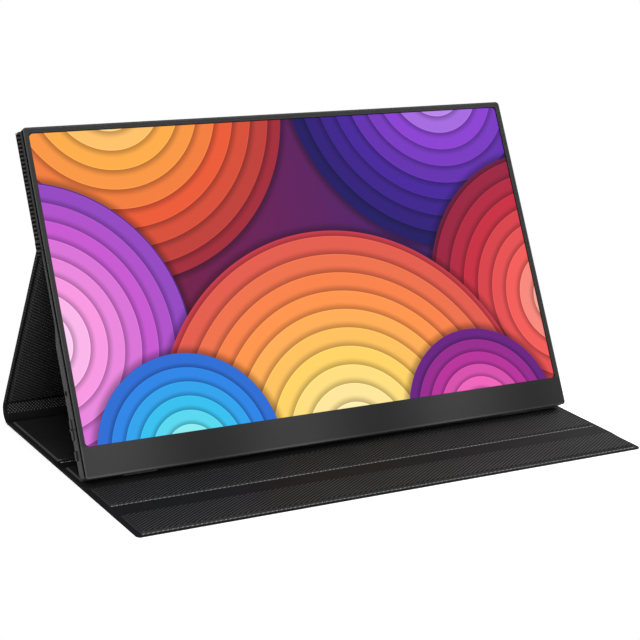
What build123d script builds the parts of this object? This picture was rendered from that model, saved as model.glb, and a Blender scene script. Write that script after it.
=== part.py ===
from build123d import *
import math
import os

# A 15.6 inch portable monitor that stands on its own folding cover.
# Sizes are millimetres. X runs along the width, Y to the back and Z up. The origin is on the desk,
# under the middle of the whole thing.
# The display is drawn in a frame of its own: x along the width, u up the display from its lower front
# edge, and depth behind the front. A panel of the cover is drawn from its outer face inwards.

# Screen and outline of the display
ACTIVE_W = 344.16
ACTIVE_H = 193.59
SIDE_BEZEL = 3.5
TOP_BEZEL = 3.5
CHIN = 19.0
CORNER_R = 2.4
SCREEN_CORNER_R = 1.8
TILT = 28.13

# Front frame
FRAME_DEPTH = 2.2
FRAME_WALL = 1.0
FRAME_LIP = 0.6
SHADOW_INSET = 0.4
RIM_WIDTH = 0.9
RIM_STEP = 0.25
RIM_CHAMFER = 0.2
LAND_THICK = 0.55
HOOK_COUNT = 7
HOOK_END = 37.58
HOOK_WIDTH = 8.0
HOOK_THICK = 0.9
HOOK_REACH = 3.4
HOOK_CATCH = 0.45
HOOK_FIT = 0.15

# Rear housing
SEAM_GAP = 0.8
THIN_DEPTH = 6.2
THICK_DEPTH = 10.4
RAMP_U = 82.0
RAMP_RUN = 12.0
RAMP_R = 9.0
HOUSING_WALL = 1.0
BACK_EDGE_R = 1.3
SEAL_INSET = 0.5
SEAL_WIDTH = 0.5

# Liquid crystal module, from the glass back
GLASS_THICK = 1.0
FILM_THICK = 0.3
GUIDE_THICK = 1.0
REFLECTOR_THICK = 0.2
TRAY_THICK = 0.3
TRAY_CORNER_CUT = 1.0
GLASS_SIDE = 2.0
GLASS_TOP = 1.7
GLASS_LEDGE = 6.5
MODULE_FIT = 0.05
LED_END = 4.33
LED_COUNT = 36
LED_LENGTH = 3.0
LED_HEIGHT = 0.6
LED_DEPTH = 0.8
LED_STRIP_THICK = 0.4
LED_GAP = 0.1

# Boards
BOARD_THICK = 1.0
BOARD_DEPTH = 5.0
MAIN_BOARD_W = 92.0
MAIN_BOARD_H = 44.0
MAIN_BOARD_U = 33.0
KEY_BOARD_W = 15.0
KEY_BOARD_H = 53.0
KEY_BOARD_U = 7.0
BOARD_EDGE = 1.2
DRIVER_BOARD_END = 22.08
DRIVER_BOARD_H = 8.0
DRIVER_BOARD_U = 13.5
DRIVER_BOARD_THICK = 0.7
FLEX_COUNT = 4
FLEX_END = 21.0
FLEX_WIDTH = 30.0
FLEX_THICK = 0.15

# Parts on the main board, placed from its lower left corner
CHIP_X = 30.0
CHIP_U = 14.0
CHIP_SIZE = 16.0
CHIP_THICK = 1.2
MEMORY_X = 52.0
MEMORY_U = 8.0
MEMORY_W = 9.0
MEMORY_H = 6.0
MEMORY_THICK = 1.0
COIL_COUNT = 3
COIL_X = 52.0
COIL_U = 30.0
COIL_PITCH = 8.0
COIL_SIZE = 6.0
COIL_THICK = 2.4
CAPACITOR_COUNT = 3
CAPACITOR_X = 20.0
CAPACITOR_U = 10.0
CAPACITOR_PITCH = 7.0
CAPACITOR_R = 2.2
CAPACITOR_HEIGHT = 3.0
KEY_SOCKET_X = 3.0
KEY_SOCKET_U = 13.0
KEY_SOCKET_W = 4.0
KEY_SOCKET_H = 10.0
KEY_SOCKET_THICK = 1.4
SPEAKER_SOCKET_X = 0.5
SPEAKER_SOCKET_U = 7.2
SPEAKER_SOCKET_W = 3.5
SPEAKER_SOCKET_H = 5.0
SPEAKER_SOCKET_THICK = 2.2
PANEL_SOCKET_X = 9.0
PANEL_SOCKET_U = 0.5
PANEL_SOCKET_W = 18.0
PANEL_SOCKET_H = 4.0
PANEL_SOCKET_THICK = 1.1

# Flat cables and speaker leads
RIBBON_THICK = 0.3
RIBBON_BEND_R = 1.2
DISPLAY_CABLE_W = 14.0
DISPLAY_CABLE_DEPTH = 4.1
KEY_CABLE_W = 7.0
KEY_CABLE_ON_BOARD = 2.0
KEY_CABLE_FLAT = 6.0
KEY_CABLE_DIP = 4.0
KEY_CABLE_OFF_WALL = 0.1
LEAD_WIDTH = 1.6
LEAD_THICK = 0.8
LEAD_BEND_R = 2.0
LEAD_DEPTH = 7.0
LEAD_PITCH = 2.6
LEAD_IN = 6.0
LEAD_ABOVE = 3.4
LEAD_RISE = 9.0
LEAD_SPACING = 5.0

# Screws and the posts that they go into
SCREW_R = 0.8
SCREW_LENGTH = 3.2
SCREW_HEAD_R = 1.7
SCREW_HEAD = 0.8
SCREW_CHAMFER = 0.3
SCREW_FIT = 0.1
SCREW_EDGE = 3.4
POST_R = 2.3
PEG_SIDES = 12
CUT_PAST = 1.0
CUT_INTO = 0.2

# Headphone jack, in the left wall
JACK_U = 53.0
JACK_DEPTH = 7.0
JACK_BORE_R = 1.8
JACK_NOSE_R = 2.3
JACK_BORE_LENGTH = 13.0
JACK_BODY_W = 6.2
JACK_BODY_H = 4.4
JACK_END_WALL = 1.0
PORT_FIT = 0.2

# Keys, in the left wall
KEY_DEPTH = 7.7
POWER_U = 15.2
POWER_LENGTH = 5.6
POWER_PROUD = 0.9
POWER_CHAMFER = 0.25
POWER_TRAVEL = 0.5
ROCKER_U = 30.9
ROCKER_LENGTH = 12.5
ROCKER_PROUD = 0.6
ROCKER_SWING = 4.0
ROCKER_BUMP_R = 0.7
KEY_WIDTH = 2.4
KEY_FIT = 0.25
KEY_FLANGE = 0.7
KEY_FLANGE_EDGE = 0.9
KEY_PLAY = 0.05
ROCKER_AXIS_IN = 2.6
SWITCH_BODY = 3.4
SWITCH_HEIGHT = 2.6
SWITCH_LENGTH = 3.0
SWITCH_NUB_R = 0.7
SWITCH_NUB = 0.6
SWITCH_END = 2.0

# Sockets, in the right wall
USB_C_W = 8.94
USB_C_H = 3.16
USB_C_LENGTH = 7.3
USB_C_SHELL = 0.3
USB_C_TONGUE_W = 6.7
USB_C_TONGUE_H = 0.7
USB_C_US = (54.0, 68.0)
MINI_HDMI_W = 11.2
MINI_HDMI_H = 3.2
MINI_HDMI_LENGTH = 7.6
MINI_HDMI_SHELL = 0.3
MINI_HDMI_CHAMFER = 1.2
MINI_HDMI_TONGUE_W = 7.6
MINI_HDMI_TONGUE_H = 0.6
MINI_HDMI_U = 40.0
SOCKET_RECESS = 0.15
TONGUE_IN = 1.0

# Speakers and the slots over them
SPEAKER_W = 40.0
SPEAKER_H = 15.0
SPEAKER_END = 53.58
SPEAKER_U = 20.0
SPEAKER_THICK = 4.3
SPEAKER_R = 2.0
SPEAKER_GAP = 0.1
CONE_W = 31.0
CONE_H = 10.0
CONE_RECESS = 0.8
CONE_TAPER = 35.0
CAP_W = 20.0
CAP_H = 5.0
CAP_TAPER = 20.0
SLOT_ROWS = 2
SLOT_COLUMNS = 9
SLOT_LENGTH = 5.0
SLOT_WIDTH = 1.2
SLOT_CHAMFER = 0.35
SLOT_PITCH = 3.2
SLOT_ROW_PITCH = 6.6

# Rubber feet on the display's lower edge
FOOT_END = 37.58
FOOT_LENGTH = 22.0
FOOT_WIDTH = 3.4
FOOT_HEIGHT = 0.6
FOOT_BACK = 9.6
FOOT_GAP = 0.05
FOOT_EDGE_R = 0.25

# Cover
COVER_PROUD = 2.17
SHEET_THICK = 1.6
PANEL_THICK = 2.5
SKIN = 0.6
BOARD_FIT = 0.1
BORDER = 3.3
PILLOW_R = 0.6
COVER_CORNER_R = 3.0
FOLD_FIT = 0.1
DESK_PANEL = 76.4
FOLD_U = 141.3
FOLD_DEPTH = 7.9
FOLD_TO_UPPER = 4.5
FOLD_TO_LEG = 3.5
UPPER_PANEL_THICK = 3.1
UPPER_PANEL_TOP = 0.2
UPPER_PANEL_FIT = 0.05
SPINE_R = 9.0
SPINE_FLAT = 1.0
GROOVE_1 = 12.9
GROOVE_2 = 13.6
GROOVE_3 = 15.8
FLAP_B = 24.4
FLAP_C = 28.2
FLAP_D = 24.6
FRONT_BORDER = 5.4
STOP_GAP = 0.6
FLAP_C_LEAD = 1.0
MAGNET_COUNT = 8
MAGNET_END = 30.75
MAGNET_LENGTH = 20.0
MAGNET_WIDTH = 8.0
MAGNET_THICK = 1.2
MAGNET_FIT = 0.1

# Worked out from the sizes above
WIDTH = ACTIVE_W + 2 * SIDE_BEZEL
HEIGHT = CHIN + ACTIVE_H + TOP_BEZEL
HALF_W = WIDTH / 2
COVER_W = WIDTH + 2 * COVER_PROUD
HOOK_PITCH = (WIDTH - 2 * HOOK_END) / (HOOK_COUNT - 1)
LED_PITCH = (ACTIVE_W - 2 * LED_END - LED_LENGTH) / (LED_COUNT - 1)
DRIVER_BOARD_W = ACTIVE_W - 2 * DRIVER_BOARD_END
FLEX_PITCH = (DRIVER_BOARD_W - 2 * FLEX_END - FLEX_WIDTH) / (FLEX_COUNT - 1)
SPEAKER_X = HALF_W - SPEAKER_END
FOOT_X = HALF_W - FOOT_END
MAGNET_PITCH = (COVER_W - 2 * MAGNET_END) / (MAGNET_COUNT - 1)
SINE = math.sin(math.radians(TILT))
COSINE = math.cos(math.radians(TILT))
HOUSING_TOP = FRAME_DEPTH + SEAM_GAP
GLASS_DEPTH = RIM_STEP + LAND_THICK
FILM_DEPTH = GLASS_DEPTH + GLASS_THICK
GUIDE_DEPTH = FILM_DEPTH + FILM_THICK
REFLECTOR_DEPTH = GUIDE_DEPTH + GUIDE_THICK
TRAY_DEPTH = REFLECTOR_DEPTH + REFLECTOR_THICK
MODULE_BACK = TRAY_DEPTH + TRAY_THICK
GLASS_HALF = ACTIVE_W / 2 + GLASS_SIDE
GLASS_LOW = CHIN - GLASS_LEDGE
GLASS_HIGH = CHIN + ACTIVE_H + GLASS_TOP
TRAY_HALF = GLASS_HALF + MODULE_FIT + TRAY_THICK
TRAY_HIGH = GLASS_HIGH + MODULE_FIT + TRAY_THICK
LED_ROOM = LED_STRIP_THICK + LED_HEIGHT + LED_GAP
TRAY_LOW = GLASS_LOW - LED_ROOM - MODULE_FIT - TRAY_THICK
BOARD_BACK = BOARD_DEPTH + BOARD_THICK
THICK_INSIDE = THICK_DEPTH - HOUSING_WALL
INNER_HALF = HALF_W - HOUSING_WALL
MAIN_BOARD_X = INNER_HALF - BOARD_EDGE - MAIN_BOARD_W
KEY_BOARD_X = -(INNER_HALF - BOARD_EDGE)
KEY_CABLE_U = MAIN_BOARD_U + KEY_SOCKET_U + KEY_SOCKET_H / 2
ROCKER_ROOM = (ROCKER_LENGTH + KEY_FLANGE_EDGE) / 2 * math.sin(math.radians(ROCKER_SWING)) + KEY_PLAY
SWITCH_FACE = HOUSING_WALL + 2 * ROCKER_ROOM + KEY_FLANGE
FOOT_LOWEST = FOOT_HEIGHT * COSINE + FOOT_BACK * SINE - FOOT_EDGE_R * (COSINE + SINE - 1)
FRONT_EDGE_Z = SHEET_THICK + FOOT_GAP + FOOT_LOWEST
FOLD_Y = FOLD_U * SINE + FOLD_DEPTH * COSINE
FOLD_Z = FRONT_EDGE_Z + FOLD_U * COSINE - FOLD_DEPTH * SINE
FLAP_B_FRONT = THICK_DEPTH * COSINE + STOP_GAP
FLAP_B_BACK = FLAP_B_FRONT + FLAP_B
DESK_PANEL_FRONT = FLAP_B_BACK + GROOVE_1
DESK_PANEL_BACK = DESK_PANEL_FRONT + DESK_PANEL
SPINE_Y = DESK_PANEL_BACK + SPINE_FLAT
SPINE_FROM_FOLD = math.hypot(FOLD_Z - SPINE_R, SPINE_Y - FOLD_Y)
LEG_SLOPE = math.atan2(FOLD_Z - SPINE_R, SPINE_Y - FOLD_Y) - math.asin(SPINE_R / SPINE_FROM_FOLD)
LEG_ANGLE = math.degrees(LEG_SLOPE)
SPINE_TANGENT = SPINE_R / math.tan(LEG_SLOPE / 2)
LEG_FOOT_Y = SPINE_Y + SPINE_TANGENT
LEG_LENGTH = math.hypot(LEG_FOOT_Y - FOLD_Y, FOLD_Z)
FLAP_C_BACK = FLAP_B_FRONT - GROOVE_2
FLAP_C_FRONT = FLAP_C_BACK - FLAP_C
FLAP_D_BACK = FLAP_C_FRONT - GROOVE_3
FLAP_D_FRONT = FLAP_D_BACK - FLAP_D
COVER_FRONT = FLAP_D_FRONT - FRONT_BORDER
COVER_BACK = SPINE_Y + SPINE_R
UPPER_LOW = FOLD_U + FOLD_TO_UPPER
UPPER_HIGH = HEIGHT - UPPER_PANEL_TOP
UPPER_OUTER = THIN_DEPTH + UPPER_PANEL_FIT + UPPER_PANEL_THICK
LEG_LOW = SPINE_TANGENT + SPINE_FLAT
LEG_HIGH = LEG_LENGTH - FOLD_TO_LEG
TO_ORIGIN = Pos(0, -(COVER_FRONT + COVER_BACK) / 2, 0)

DISPLAY = Pos(0, 0, FRONT_EDGE_Z) * Rot(90 - TILT, 0, 0)
DESK = Plane(origin=(0, 0, 0), x_dir=(1, 0, 0), z_dir=(0, 0, 1))
LEG = Plane(
    origin=(0, LEG_FOOT_Y, 0),
    x_dir=(1, 0, 0),
    z_dir=(0, -math.sin(LEG_SLOPE), -math.cos(LEG_SLOPE)),
)


def plate(x_low, x_high, u_low, u_high, near, far, radius=0.0, cut=0.0):
    """Flat plate of the display, between two depths behind its front, with rounded or cut corners."""
    width = x_high - x_low
    height = u_high - u_low
    outline = RectangleRounded(width, height, radius) if radius else Rectangle(width, height)
    if cut:
        outline = chamfer(outline.vertices(), cut)
    return extrude(Pos((x_low + x_high) / 2, (u_low + u_high) / 2, -far) * outline, far - near)


def display_plate(inset, near, far, radius):
    """Plate with the display's own outline, drawn in by inset all round."""
    return plate(-HALF_W + inset, HALF_W - inset, inset, HEIGHT - inset, near, far, radius)


def through_side(side, outline, u, depth, start, length):
    """Prism through a side wall: an outline in u and depth, from start inside the side face, inwards."""
    face = Plane.YZ.offset(side * (HALF_W - start)) * Pos(u, -depth) * outline
    return extrude(face, -side * length)


def peg(x, u, near, far, radius):
    """Round peg square to the display, between two depths, drawn with a few flat sides."""
    return extrude(Pos(x, u, -far) * RegularPolygon(radius, PEG_SIDES), far - near)


def hook_places():
    """Middles of the snap hooks along the lower edge."""
    return [(i - (HOOK_COUNT - 1) / 2) * HOOK_PITCH for i in range(HOOK_COUNT)]


def front_frame():
    """Frame with a raised rim, a flat land, the chin, and snap hooks along its lower wall.

    Its walls are drawn in under the lip, so the seam with the housing shows as a dark line.
    """
    body = display_plate(0, 0, FRAME_DEPTH, CORNER_R)
    body = chamfer(body.faces().sort_by(Axis.Z)[-1].edges(), RIM_CHAMFER)
    body -= display_plate(RIM_WIDTH, 0, RIM_STEP, CORNER_R - RIM_WIDTH)
    under_lip = display_plate(0, FRAME_LIP, FRAME_DEPTH, CORNER_R)
    body -= under_lip - display_plate(SHADOW_INSET, FRAME_LIP, FRAME_DEPTH, CORNER_R - SHADOW_INSET)
    body -= display_plate(FRAME_WALL, GLASS_DEPTH, FRAME_DEPTH, CORNER_R - FRAME_WALL)
    body -= plate(-ACTIVE_W / 2, ACTIVE_W / 2, CHIN, CHIN + ACTIVE_H, 0, FRAME_DEPTH, SCREEN_CORNER_R)
    return body + [snap_hook(x) for x in hook_places()]


def snap_hook(x):
    """Springy tab just inside the lower wall, with a wedge that clicks into the rear housing."""
    inside = HOUSING_WALL + HOOK_FIT
    tip = HOUSING_TOP + HOOK_REACH
    outline = make_face(
        Polyline(
            (inside, -GLASS_DEPTH),
            (inside + HOOK_THICK, -GLASS_DEPTH),
            (inside + HOOK_THICK, -tip),
            (inside, -tip),
            (inside - HOOK_CATCH, -tip + 2 * HOOK_CATCH),
            (inside, -tip + 2 * HOOK_CATCH),
            close=True,
        )
    )
    tab = extrude(Plane.YZ.offset(x) * outline, HOOK_WIDTH / 2, both=True)
    root = plate(
        x - HOOK_WIDTH / 2,
        x + HOOK_WIDTH / 2,
        FRAME_WALL / 2,
        inside + HOOK_THICK,
        GLASS_DEPTH - LAND_THICK / 2,
        FRAME_DEPTH - RIM_STEP,
    )
    return tab + root


def gap_seal():
    """Black ring that fills the shadow gap between the frame and the rear housing."""
    ring = display_plate(SEAL_INSET, FRAME_DEPTH, HOUSING_TOP, CORNER_R - SEAL_INSET)
    inset = SEAL_INSET + SEAL_WIDTH
    return ring - display_plate(inset, FRAME_DEPTH, HOUSING_TOP, CORNER_R - inset)


def housing_block(inset, front):
    """Stepped body of the housing, thick below and thin above with a smooth ramp, drawn in by inset."""
    ramp = math.atan2(THICK_DEPTH - THIN_DEPTH, RAMP_RUN)
    shift = inset * math.tan(ramp / 2)
    low = RAMP_U - shift
    profile = make_face(
        Polyline(
            (inset, -front),
            (inset, -(THICK_DEPTH - inset)),
            (low, -(THICK_DEPTH - inset)),
            (low + RAMP_RUN, -(THIN_DEPTH - inset)),
            (HEIGHT - inset, -(THIN_DEPTH - inset)),
            (HEIGHT - inset, -front),
            close=True,
        )
    )
    bends = [v for v in profile.vertices() if low - 1 < v.X < low + RAMP_RUN + 1]
    crest, valley = sorted(bends, key=lambda v: v.X)
    profile = fillet(crest, RAMP_R - inset)
    valley = [v for v in profile.vertices() if abs(v.X - (low + RAMP_RUN)) < 0.01]
    profile = fillet(valley, RAMP_R + inset)
    block = extrude(Plane.YZ * profile, HALF_W - inset, both=True)
    return block & display_plate(inset, front, THICK_DEPTH, CORNER_R - inset)


def back_rim(block):
    """Edges where the back of the housing meets its sides."""

    def on_outline(edge):
        middle = edge.position_at(0.5)
        beside = abs(abs(middle.X) - HALF_W) < 0.01 or middle.Y < 0.01 or middle.Y > HEIGHT - 0.01
        corner = abs(middle.X) > HALF_W - CORNER_R and not CORNER_R < middle.Y < HEIGHT - CORNER_R
        return beside or corner

    rising = block.edges().filter_by(Axis.Z)
    front = block.edges().group_by(Axis.Z)[-1]
    return [e for e in block.edges() if e not in rising and e not in front and on_outline(e)]


def post_places():
    """Middles of the screws: four in the main board and two in the key board, as (x, u)."""
    left = MAIN_BOARD_X + SCREW_EDGE
    right = MAIN_BOARD_X + MAIN_BOARD_W - SCREW_EDGE - USB_C_LENGTH
    low = MAIN_BOARD_U + SCREW_EDGE
    high = MAIN_BOARD_U + MAIN_BOARD_H - SCREW_EDGE
    main = [(x, u) for x in (left, right) for u in (low, high)]
    key_x = KEY_BOARD_X + KEY_BOARD_W - SCREW_EDGE
    key = [(key_x, KEY_BOARD_U + SCREW_EDGE), (key_x, (ROCKER_U + JACK_U) / 2)]
    return main + key


def rear_housing():
    """Moulded shell with posts, hook recesses, speaker slots and the openings in its side walls."""
    block = housing_block(0, HOUSING_TOP)
    shell = fillet(back_rim(block), BACK_EDGE_R)
    shell -= housing_block(HOUSING_WALL, HOUSING_TOP - CUT_PAST)
    for x, u in post_places():
        shell += peg(x, u, BOARD_BACK, THICK_INSIDE + HOUSING_WALL / 2, POST_R)
        hole_end = THICK_INSIDE - HOUSING_WALL / 2
        shell -= peg(x, u, BOARD_BACK - CUT_PAST, hole_end, SCREW_R + SCREW_FIT)
    for x in hook_places():
        shell -= hook_recess(x)
    for side in (-1, 1):
        slots = [(column, row) for column in range(SLOT_COLUMNS) for row in range(SLOT_ROWS)]
        shell -= [speaker_slot(side, *place) for place in slots]
    shell -= left_openings()
    return shell - right_openings()


def hook_recess(x):
    """Pocket in the inner face of the lower wall that a snap hook's wedge clicks into."""
    reach = HOUSING_WALL - HOOK_CATCH
    tip = HOUSING_TOP + HOOK_REACH
    half = HOOK_WIDTH / 2 + HOOK_FIT
    return plate(x - half, x + half, reach, 2 * HOUSING_WALL, tip - 2 * HOOK_CATCH - HOOK_FIT, tip + HOOK_FIT)


def speaker_slot(side, column, row):
    """One upright slot through the back wall, over a speaker."""
    x = side * SPEAKER_X + (column - (SLOT_COLUMNS - 1) / 2) * SLOT_PITCH
    u = SPEAKER_U + (row - (SLOT_ROWS - 1) / 2) * SLOT_ROW_PITCH
    slot = chamfer(Rectangle(SLOT_WIDTH, SLOT_LENGTH).vertices(), SLOT_CHAMFER)
    return extrude(Pos(x, u, -THICK_DEPTH - CUT_PAST) * slot, CUT_PAST + HOUSING_WALL + CUT_INTO)


def left_openings():
    """Holes for the jack's nose, the power button and the menu rocker."""
    depth = CUT_PAST + HOUSING_WALL + CUT_INTO
    slot = KEY_WIDTH + 2 * KEY_FIT
    jack = through_side(-1, Circle(JACK_NOSE_R + PORT_FIT), JACK_U, JACK_DEPTH, -CUT_PAST, depth)
    power = chamfer(Rectangle(POWER_LENGTH + 2 * KEY_FIT, slot).vertices(), POWER_CHAMFER)
    rocker = SlotOverall(ROCKER_LENGTH + 2 * KEY_FIT, slot)
    return [
        jack,
        through_side(-1, power, POWER_U, KEY_DEPTH, -CUT_PAST, depth),
        through_side(-1, rocker, ROCKER_U, KEY_DEPTH, -CUT_PAST, depth),
    ]


def right_openings():
    """Holes for the two small reversible sockets and the video socket."""
    depth = CUT_PAST + HOUSING_WALL + CUT_INTO
    round_slot = SlotOverall(USB_C_W + 2 * PORT_FIT, USB_C_H + 2 * PORT_FIT)
    holes = [through_side(1, round_slot, u, usb_c_depth(), -CUT_PAST, depth) for u in USB_C_US]
    video = mini_hdmi_outline(PORT_FIT)
    holes.append(through_side(1, video, MINI_HDMI_U, mini_hdmi_depth(), -CUT_PAST, depth))
    return holes


def usb_c_depth():
    """Depth of a reversible socket's middle: it stands on the main board."""
    return BOARD_BACK + USB_C_H / 2


def mini_hdmi_depth():
    """Depth of the video socket's middle: it stands on the main board."""
    return BOARD_BACK + MINI_HDMI_H / 2


def mini_hdmi_outline(grow):
    """Flat hexagon of the video socket, narrower on one long side."""
    half_w = MINI_HDMI_W / 2 + grow
    half_h = MINI_HDMI_H / 2 + grow
    return make_face(
        Polyline(
            (-half_w, half_h),
            (half_w, half_h),
            (half_w, -half_h + MINI_HDMI_CHAMFER),
            (half_w - MINI_HDMI_CHAMFER, -half_h),
            (-half_w + MINI_HDMI_CHAMFER, -half_h),
            (-half_w, -half_h + MINI_HDMI_CHAMFER),
            close=True,
        )
    )


def lcd_glass():
    """The cell with a polariser on each face."""
    return module_sheet(GLASS_DEPTH, GLASS_THICK)


def module_sheet(near, thick):
    """One sheet of the module, from the lamps to its top."""
    return plate(-GLASS_HALF, GLASS_HALF, GLASS_LOW, GLASS_HIGH, near, near + thick, cut=TRAY_CORNER_CUT)


def led_bar():
    """Flexible strip on edge with a row of lamps that face the light guide."""
    far = GUIDE_DEPTH + LED_DEPTH
    low = GLASS_LOW - LED_ROOM
    top = low + LED_STRIP_THICK
    half = ACTIVE_W / 2
    bar = plate(-half, half, low, top, GUIDE_DEPTH, far)
    lamps = [
        plate(x - LED_LENGTH / 2, x + LED_LENGTH / 2, top, top + LED_HEIGHT, GUIDE_DEPTH, far)
        for x in [(i - (LED_COUNT - 1) / 2) * LED_PITCH for i in range(LED_COUNT)]
    ]
    return bar + lamps


def lcd_tray():
    """Steel tray with low walls folded up round the sheets, open at the front."""
    tray = plate(-TRAY_HALF, TRAY_HALF, TRAY_LOW, TRAY_HIGH, FILM_DEPTH, MODULE_BACK, cut=TRAY_CORNER_CUT)
    return tray - plate(
        -TRAY_HALF + TRAY_THICK,
        TRAY_HALF - TRAY_THICK,
        TRAY_LOW + TRAY_THICK,
        TRAY_HIGH - TRAY_THICK,
        FILM_DEPTH,
        TRAY_DEPTH,
        cut=TRAY_CORNER_CUT,
    )


def panel_driver_board():
    """Long thin board behind the tray, which takes the picture to the glass."""
    half = DRIVER_BOARD_W / 2
    top = DRIVER_BOARD_U + DRIVER_BOARD_H
    far = MODULE_BACK + DRIVER_BOARD_THICK
    return plate(-half, half, DRIVER_BOARD_U, top, MODULE_BACK, far)


def panel_flexes():
    """Thin films that leave the glass below, turn round the tray's foot and reach the driver board."""
    near = GLASS_DEPTH + GLASS_THICK / 2
    far = MODULE_BACK + DRIVER_BOARD_THICK / 2
    turn = (far - near) / 2
    low = TRAY_LOW - MODULE_FIT - FLEX_THICK - turn
    outer = Pos(low + turn, -(near + far) / 2) * Circle(turn)
    inner = Pos(low + turn, -(near + far) / 2) * Circle(turn - FLEX_THICK)
    bend = (outer - inner) & Pos(low + turn / 2, -(near + far) / 2) * Rectangle(turn, 2 * turn)
    bend = Plane.YZ * bend
    reach_front = GLASS_LOW - low - turn
    reach_back = DRIVER_BOARD_U - low - turn
    flexes = []
    for i in range(FLEX_COUNT):
        x = (i - (FLEX_COUNT - 1) / 2) * FLEX_PITCH
        left = x - FLEX_WIDTH / 2
        right = x + FLEX_WIDTH / 2
        base = low + turn
        film = extrude(Pos(x, 0, 0) * bend, FLEX_WIDTH / 2, both=True)
        film += plate(left, right, base, base + reach_front, near, near + FLEX_THICK)
        film += plate(left, right, base, base + reach_back, far - FLEX_THICK, far)
        flexes.append(film)
    return Compound(children=flexes)


def main_board():
    """Video board, with holes for its four screws."""
    board = plate(
        MAIN_BOARD_X,
        MAIN_BOARD_X + MAIN_BOARD_W,
        MAIN_BOARD_U,
        MAIN_BOARD_U + MAIN_BOARD_H,
        BOARD_DEPTH,
        BOARD_BACK,
    )
    return board - [screw_hole(place) for place in post_places()[:4]]


def screw_hole(place):
    """Clear hole for one screw through a board."""
    return peg(*place, BOARD_DEPTH, BOARD_BACK, SCREW_R + SCREW_FIT)


def on_main_board(x, u, width, height, thick):
    """Block on the back of the main board, placed from the board's lower left corner."""
    left = MAIN_BOARD_X + x
    low = MAIN_BOARD_U + u
    return plate(left, left + width, low, low + height, BOARD_BACK, BOARD_BACK + thick)


def board_parts():
    """Chips, coils, capacitors and sockets on the main board: one socket faces the screen."""
    chip = on_main_board(CHIP_X, CHIP_U, CHIP_SIZE, CHIP_SIZE, CHIP_THICK)
    memory = on_main_board(MEMORY_X, MEMORY_U, MEMORY_W, MEMORY_H, MEMORY_THICK)
    key_socket = on_main_board(KEY_SOCKET_X, KEY_SOCKET_U, KEY_SOCKET_W, KEY_SOCKET_H, KEY_SOCKET_THICK)
    speaker_socket = on_main_board(
        SPEAKER_SOCKET_X, SPEAKER_SOCKET_U, SPEAKER_SOCKET_W, SPEAKER_SOCKET_H, SPEAKER_SOCKET_THICK
    )
    left = MAIN_BOARD_X + PANEL_SOCKET_X
    low = MAIN_BOARD_U + PANEL_SOCKET_U
    panel_socket = plate(
        left,
        left + PANEL_SOCKET_W,
        low,
        low + PANEL_SOCKET_H,
        BOARD_DEPTH - PANEL_SOCKET_THICK,
        BOARD_DEPTH,
    )
    parts = [chip, memory, key_socket, speaker_socket, panel_socket]
    for i in range(COIL_COUNT):
        x = COIL_X + i * COIL_PITCH
        parts.append(on_main_board(x, COIL_U, COIL_SIZE, COIL_SIZE, COIL_THICK))
    for i in range(CAPACITOR_COUNT):
        x = MAIN_BOARD_X + CAPACITOR_X
        u = MAIN_BOARD_U + CAPACITOR_U + i * CAPACITOR_PITCH
        parts.append(peg(x, u, BOARD_BACK, BOARD_BACK + CAPACITOR_HEIGHT, CAPACITOR_R))
    return Compound(children=parts)


def key_board():
    """Narrow board by the left wall, notched for the jack."""
    board = plate(
        KEY_BOARD_X,
        KEY_BOARD_X + KEY_BOARD_W,
        KEY_BOARD_U,
        KEY_BOARD_U + KEY_BOARD_H,
        BOARD_DEPTH,
        BOARD_BACK,
    )
    notch = JACK_BODY_W / 2 + PORT_FIT
    end = KEY_BOARD_X + JACK_BORE_LENGTH + PORT_FIT
    board -= plate(KEY_BOARD_X - CUT_PAST, end, JACK_U - notch, JACK_U + notch, BOARD_DEPTH, BOARD_BACK)
    return board - [screw_hole(place) for place in post_places()[4:]]


def key_places():
    """Middles of the three switches along the left wall: power, then both ends of the rocker."""
    swing = ROCKER_LENGTH / 2 - SWITCH_END
    return [POWER_U, ROCKER_U - swing, ROCKER_U + swing]


def key_switches():
    """Three small side-pressed switches on the key board, each with a round nub."""
    nub_outline = RegularPolygon(SWITCH_NUB_R, PEG_SIDES)
    nub_length = SWITCH_NUB + SWITCH_LENGTH / 2
    switches = []
    for u in key_places():
        front = -HALF_W + SWITCH_FACE + SWITCH_NUB
        body = plate(
            front,
            front + SWITCH_LENGTH,
            u - SWITCH_BODY / 2,
            u + SWITCH_BODY / 2,
            BOARD_BACK,
            BOARD_BACK + SWITCH_HEIGHT,
        )
        nub = through_side(-1, nub_outline, u, KEY_DEPTH, SWITCH_FACE, nub_length)
        switches.append(body + nub)
    return Compound(children=switches)


def power_button():
    """Cap that stands a little proud, on a flange that the wall holds in, with a stem to its switch."""
    flange_at = HOUSING_WALL + KEY_FIT
    stem_end = SWITCH_FACE - POWER_TRAVEL - KEY_PLAY
    cap = chamfer(Rectangle(POWER_LENGTH, KEY_WIDTH).vertices(), POWER_CHAMFER)
    body = through_side(-1, cap, POWER_U, KEY_DEPTH, -POWER_PROUD, POWER_PROUD + flange_at)
    body = chamfer(body.faces().sort_by(Axis.X)[0].edges(), POWER_CHAMFER)
    flange = Rectangle(POWER_LENGTH + 2 * KEY_FLANGE_EDGE, KEY_WIDTH + KEY_FLANGE_EDGE)
    body += through_side(-1, flange, POWER_U, KEY_DEPTH, flange_at, KEY_FLANGE)
    stem = Circle(SWITCH_NUB_R)
    return body + through_side(-1, stem, POWER_U, KEY_DEPTH, flange_at, stem_end - flange_at)


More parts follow.
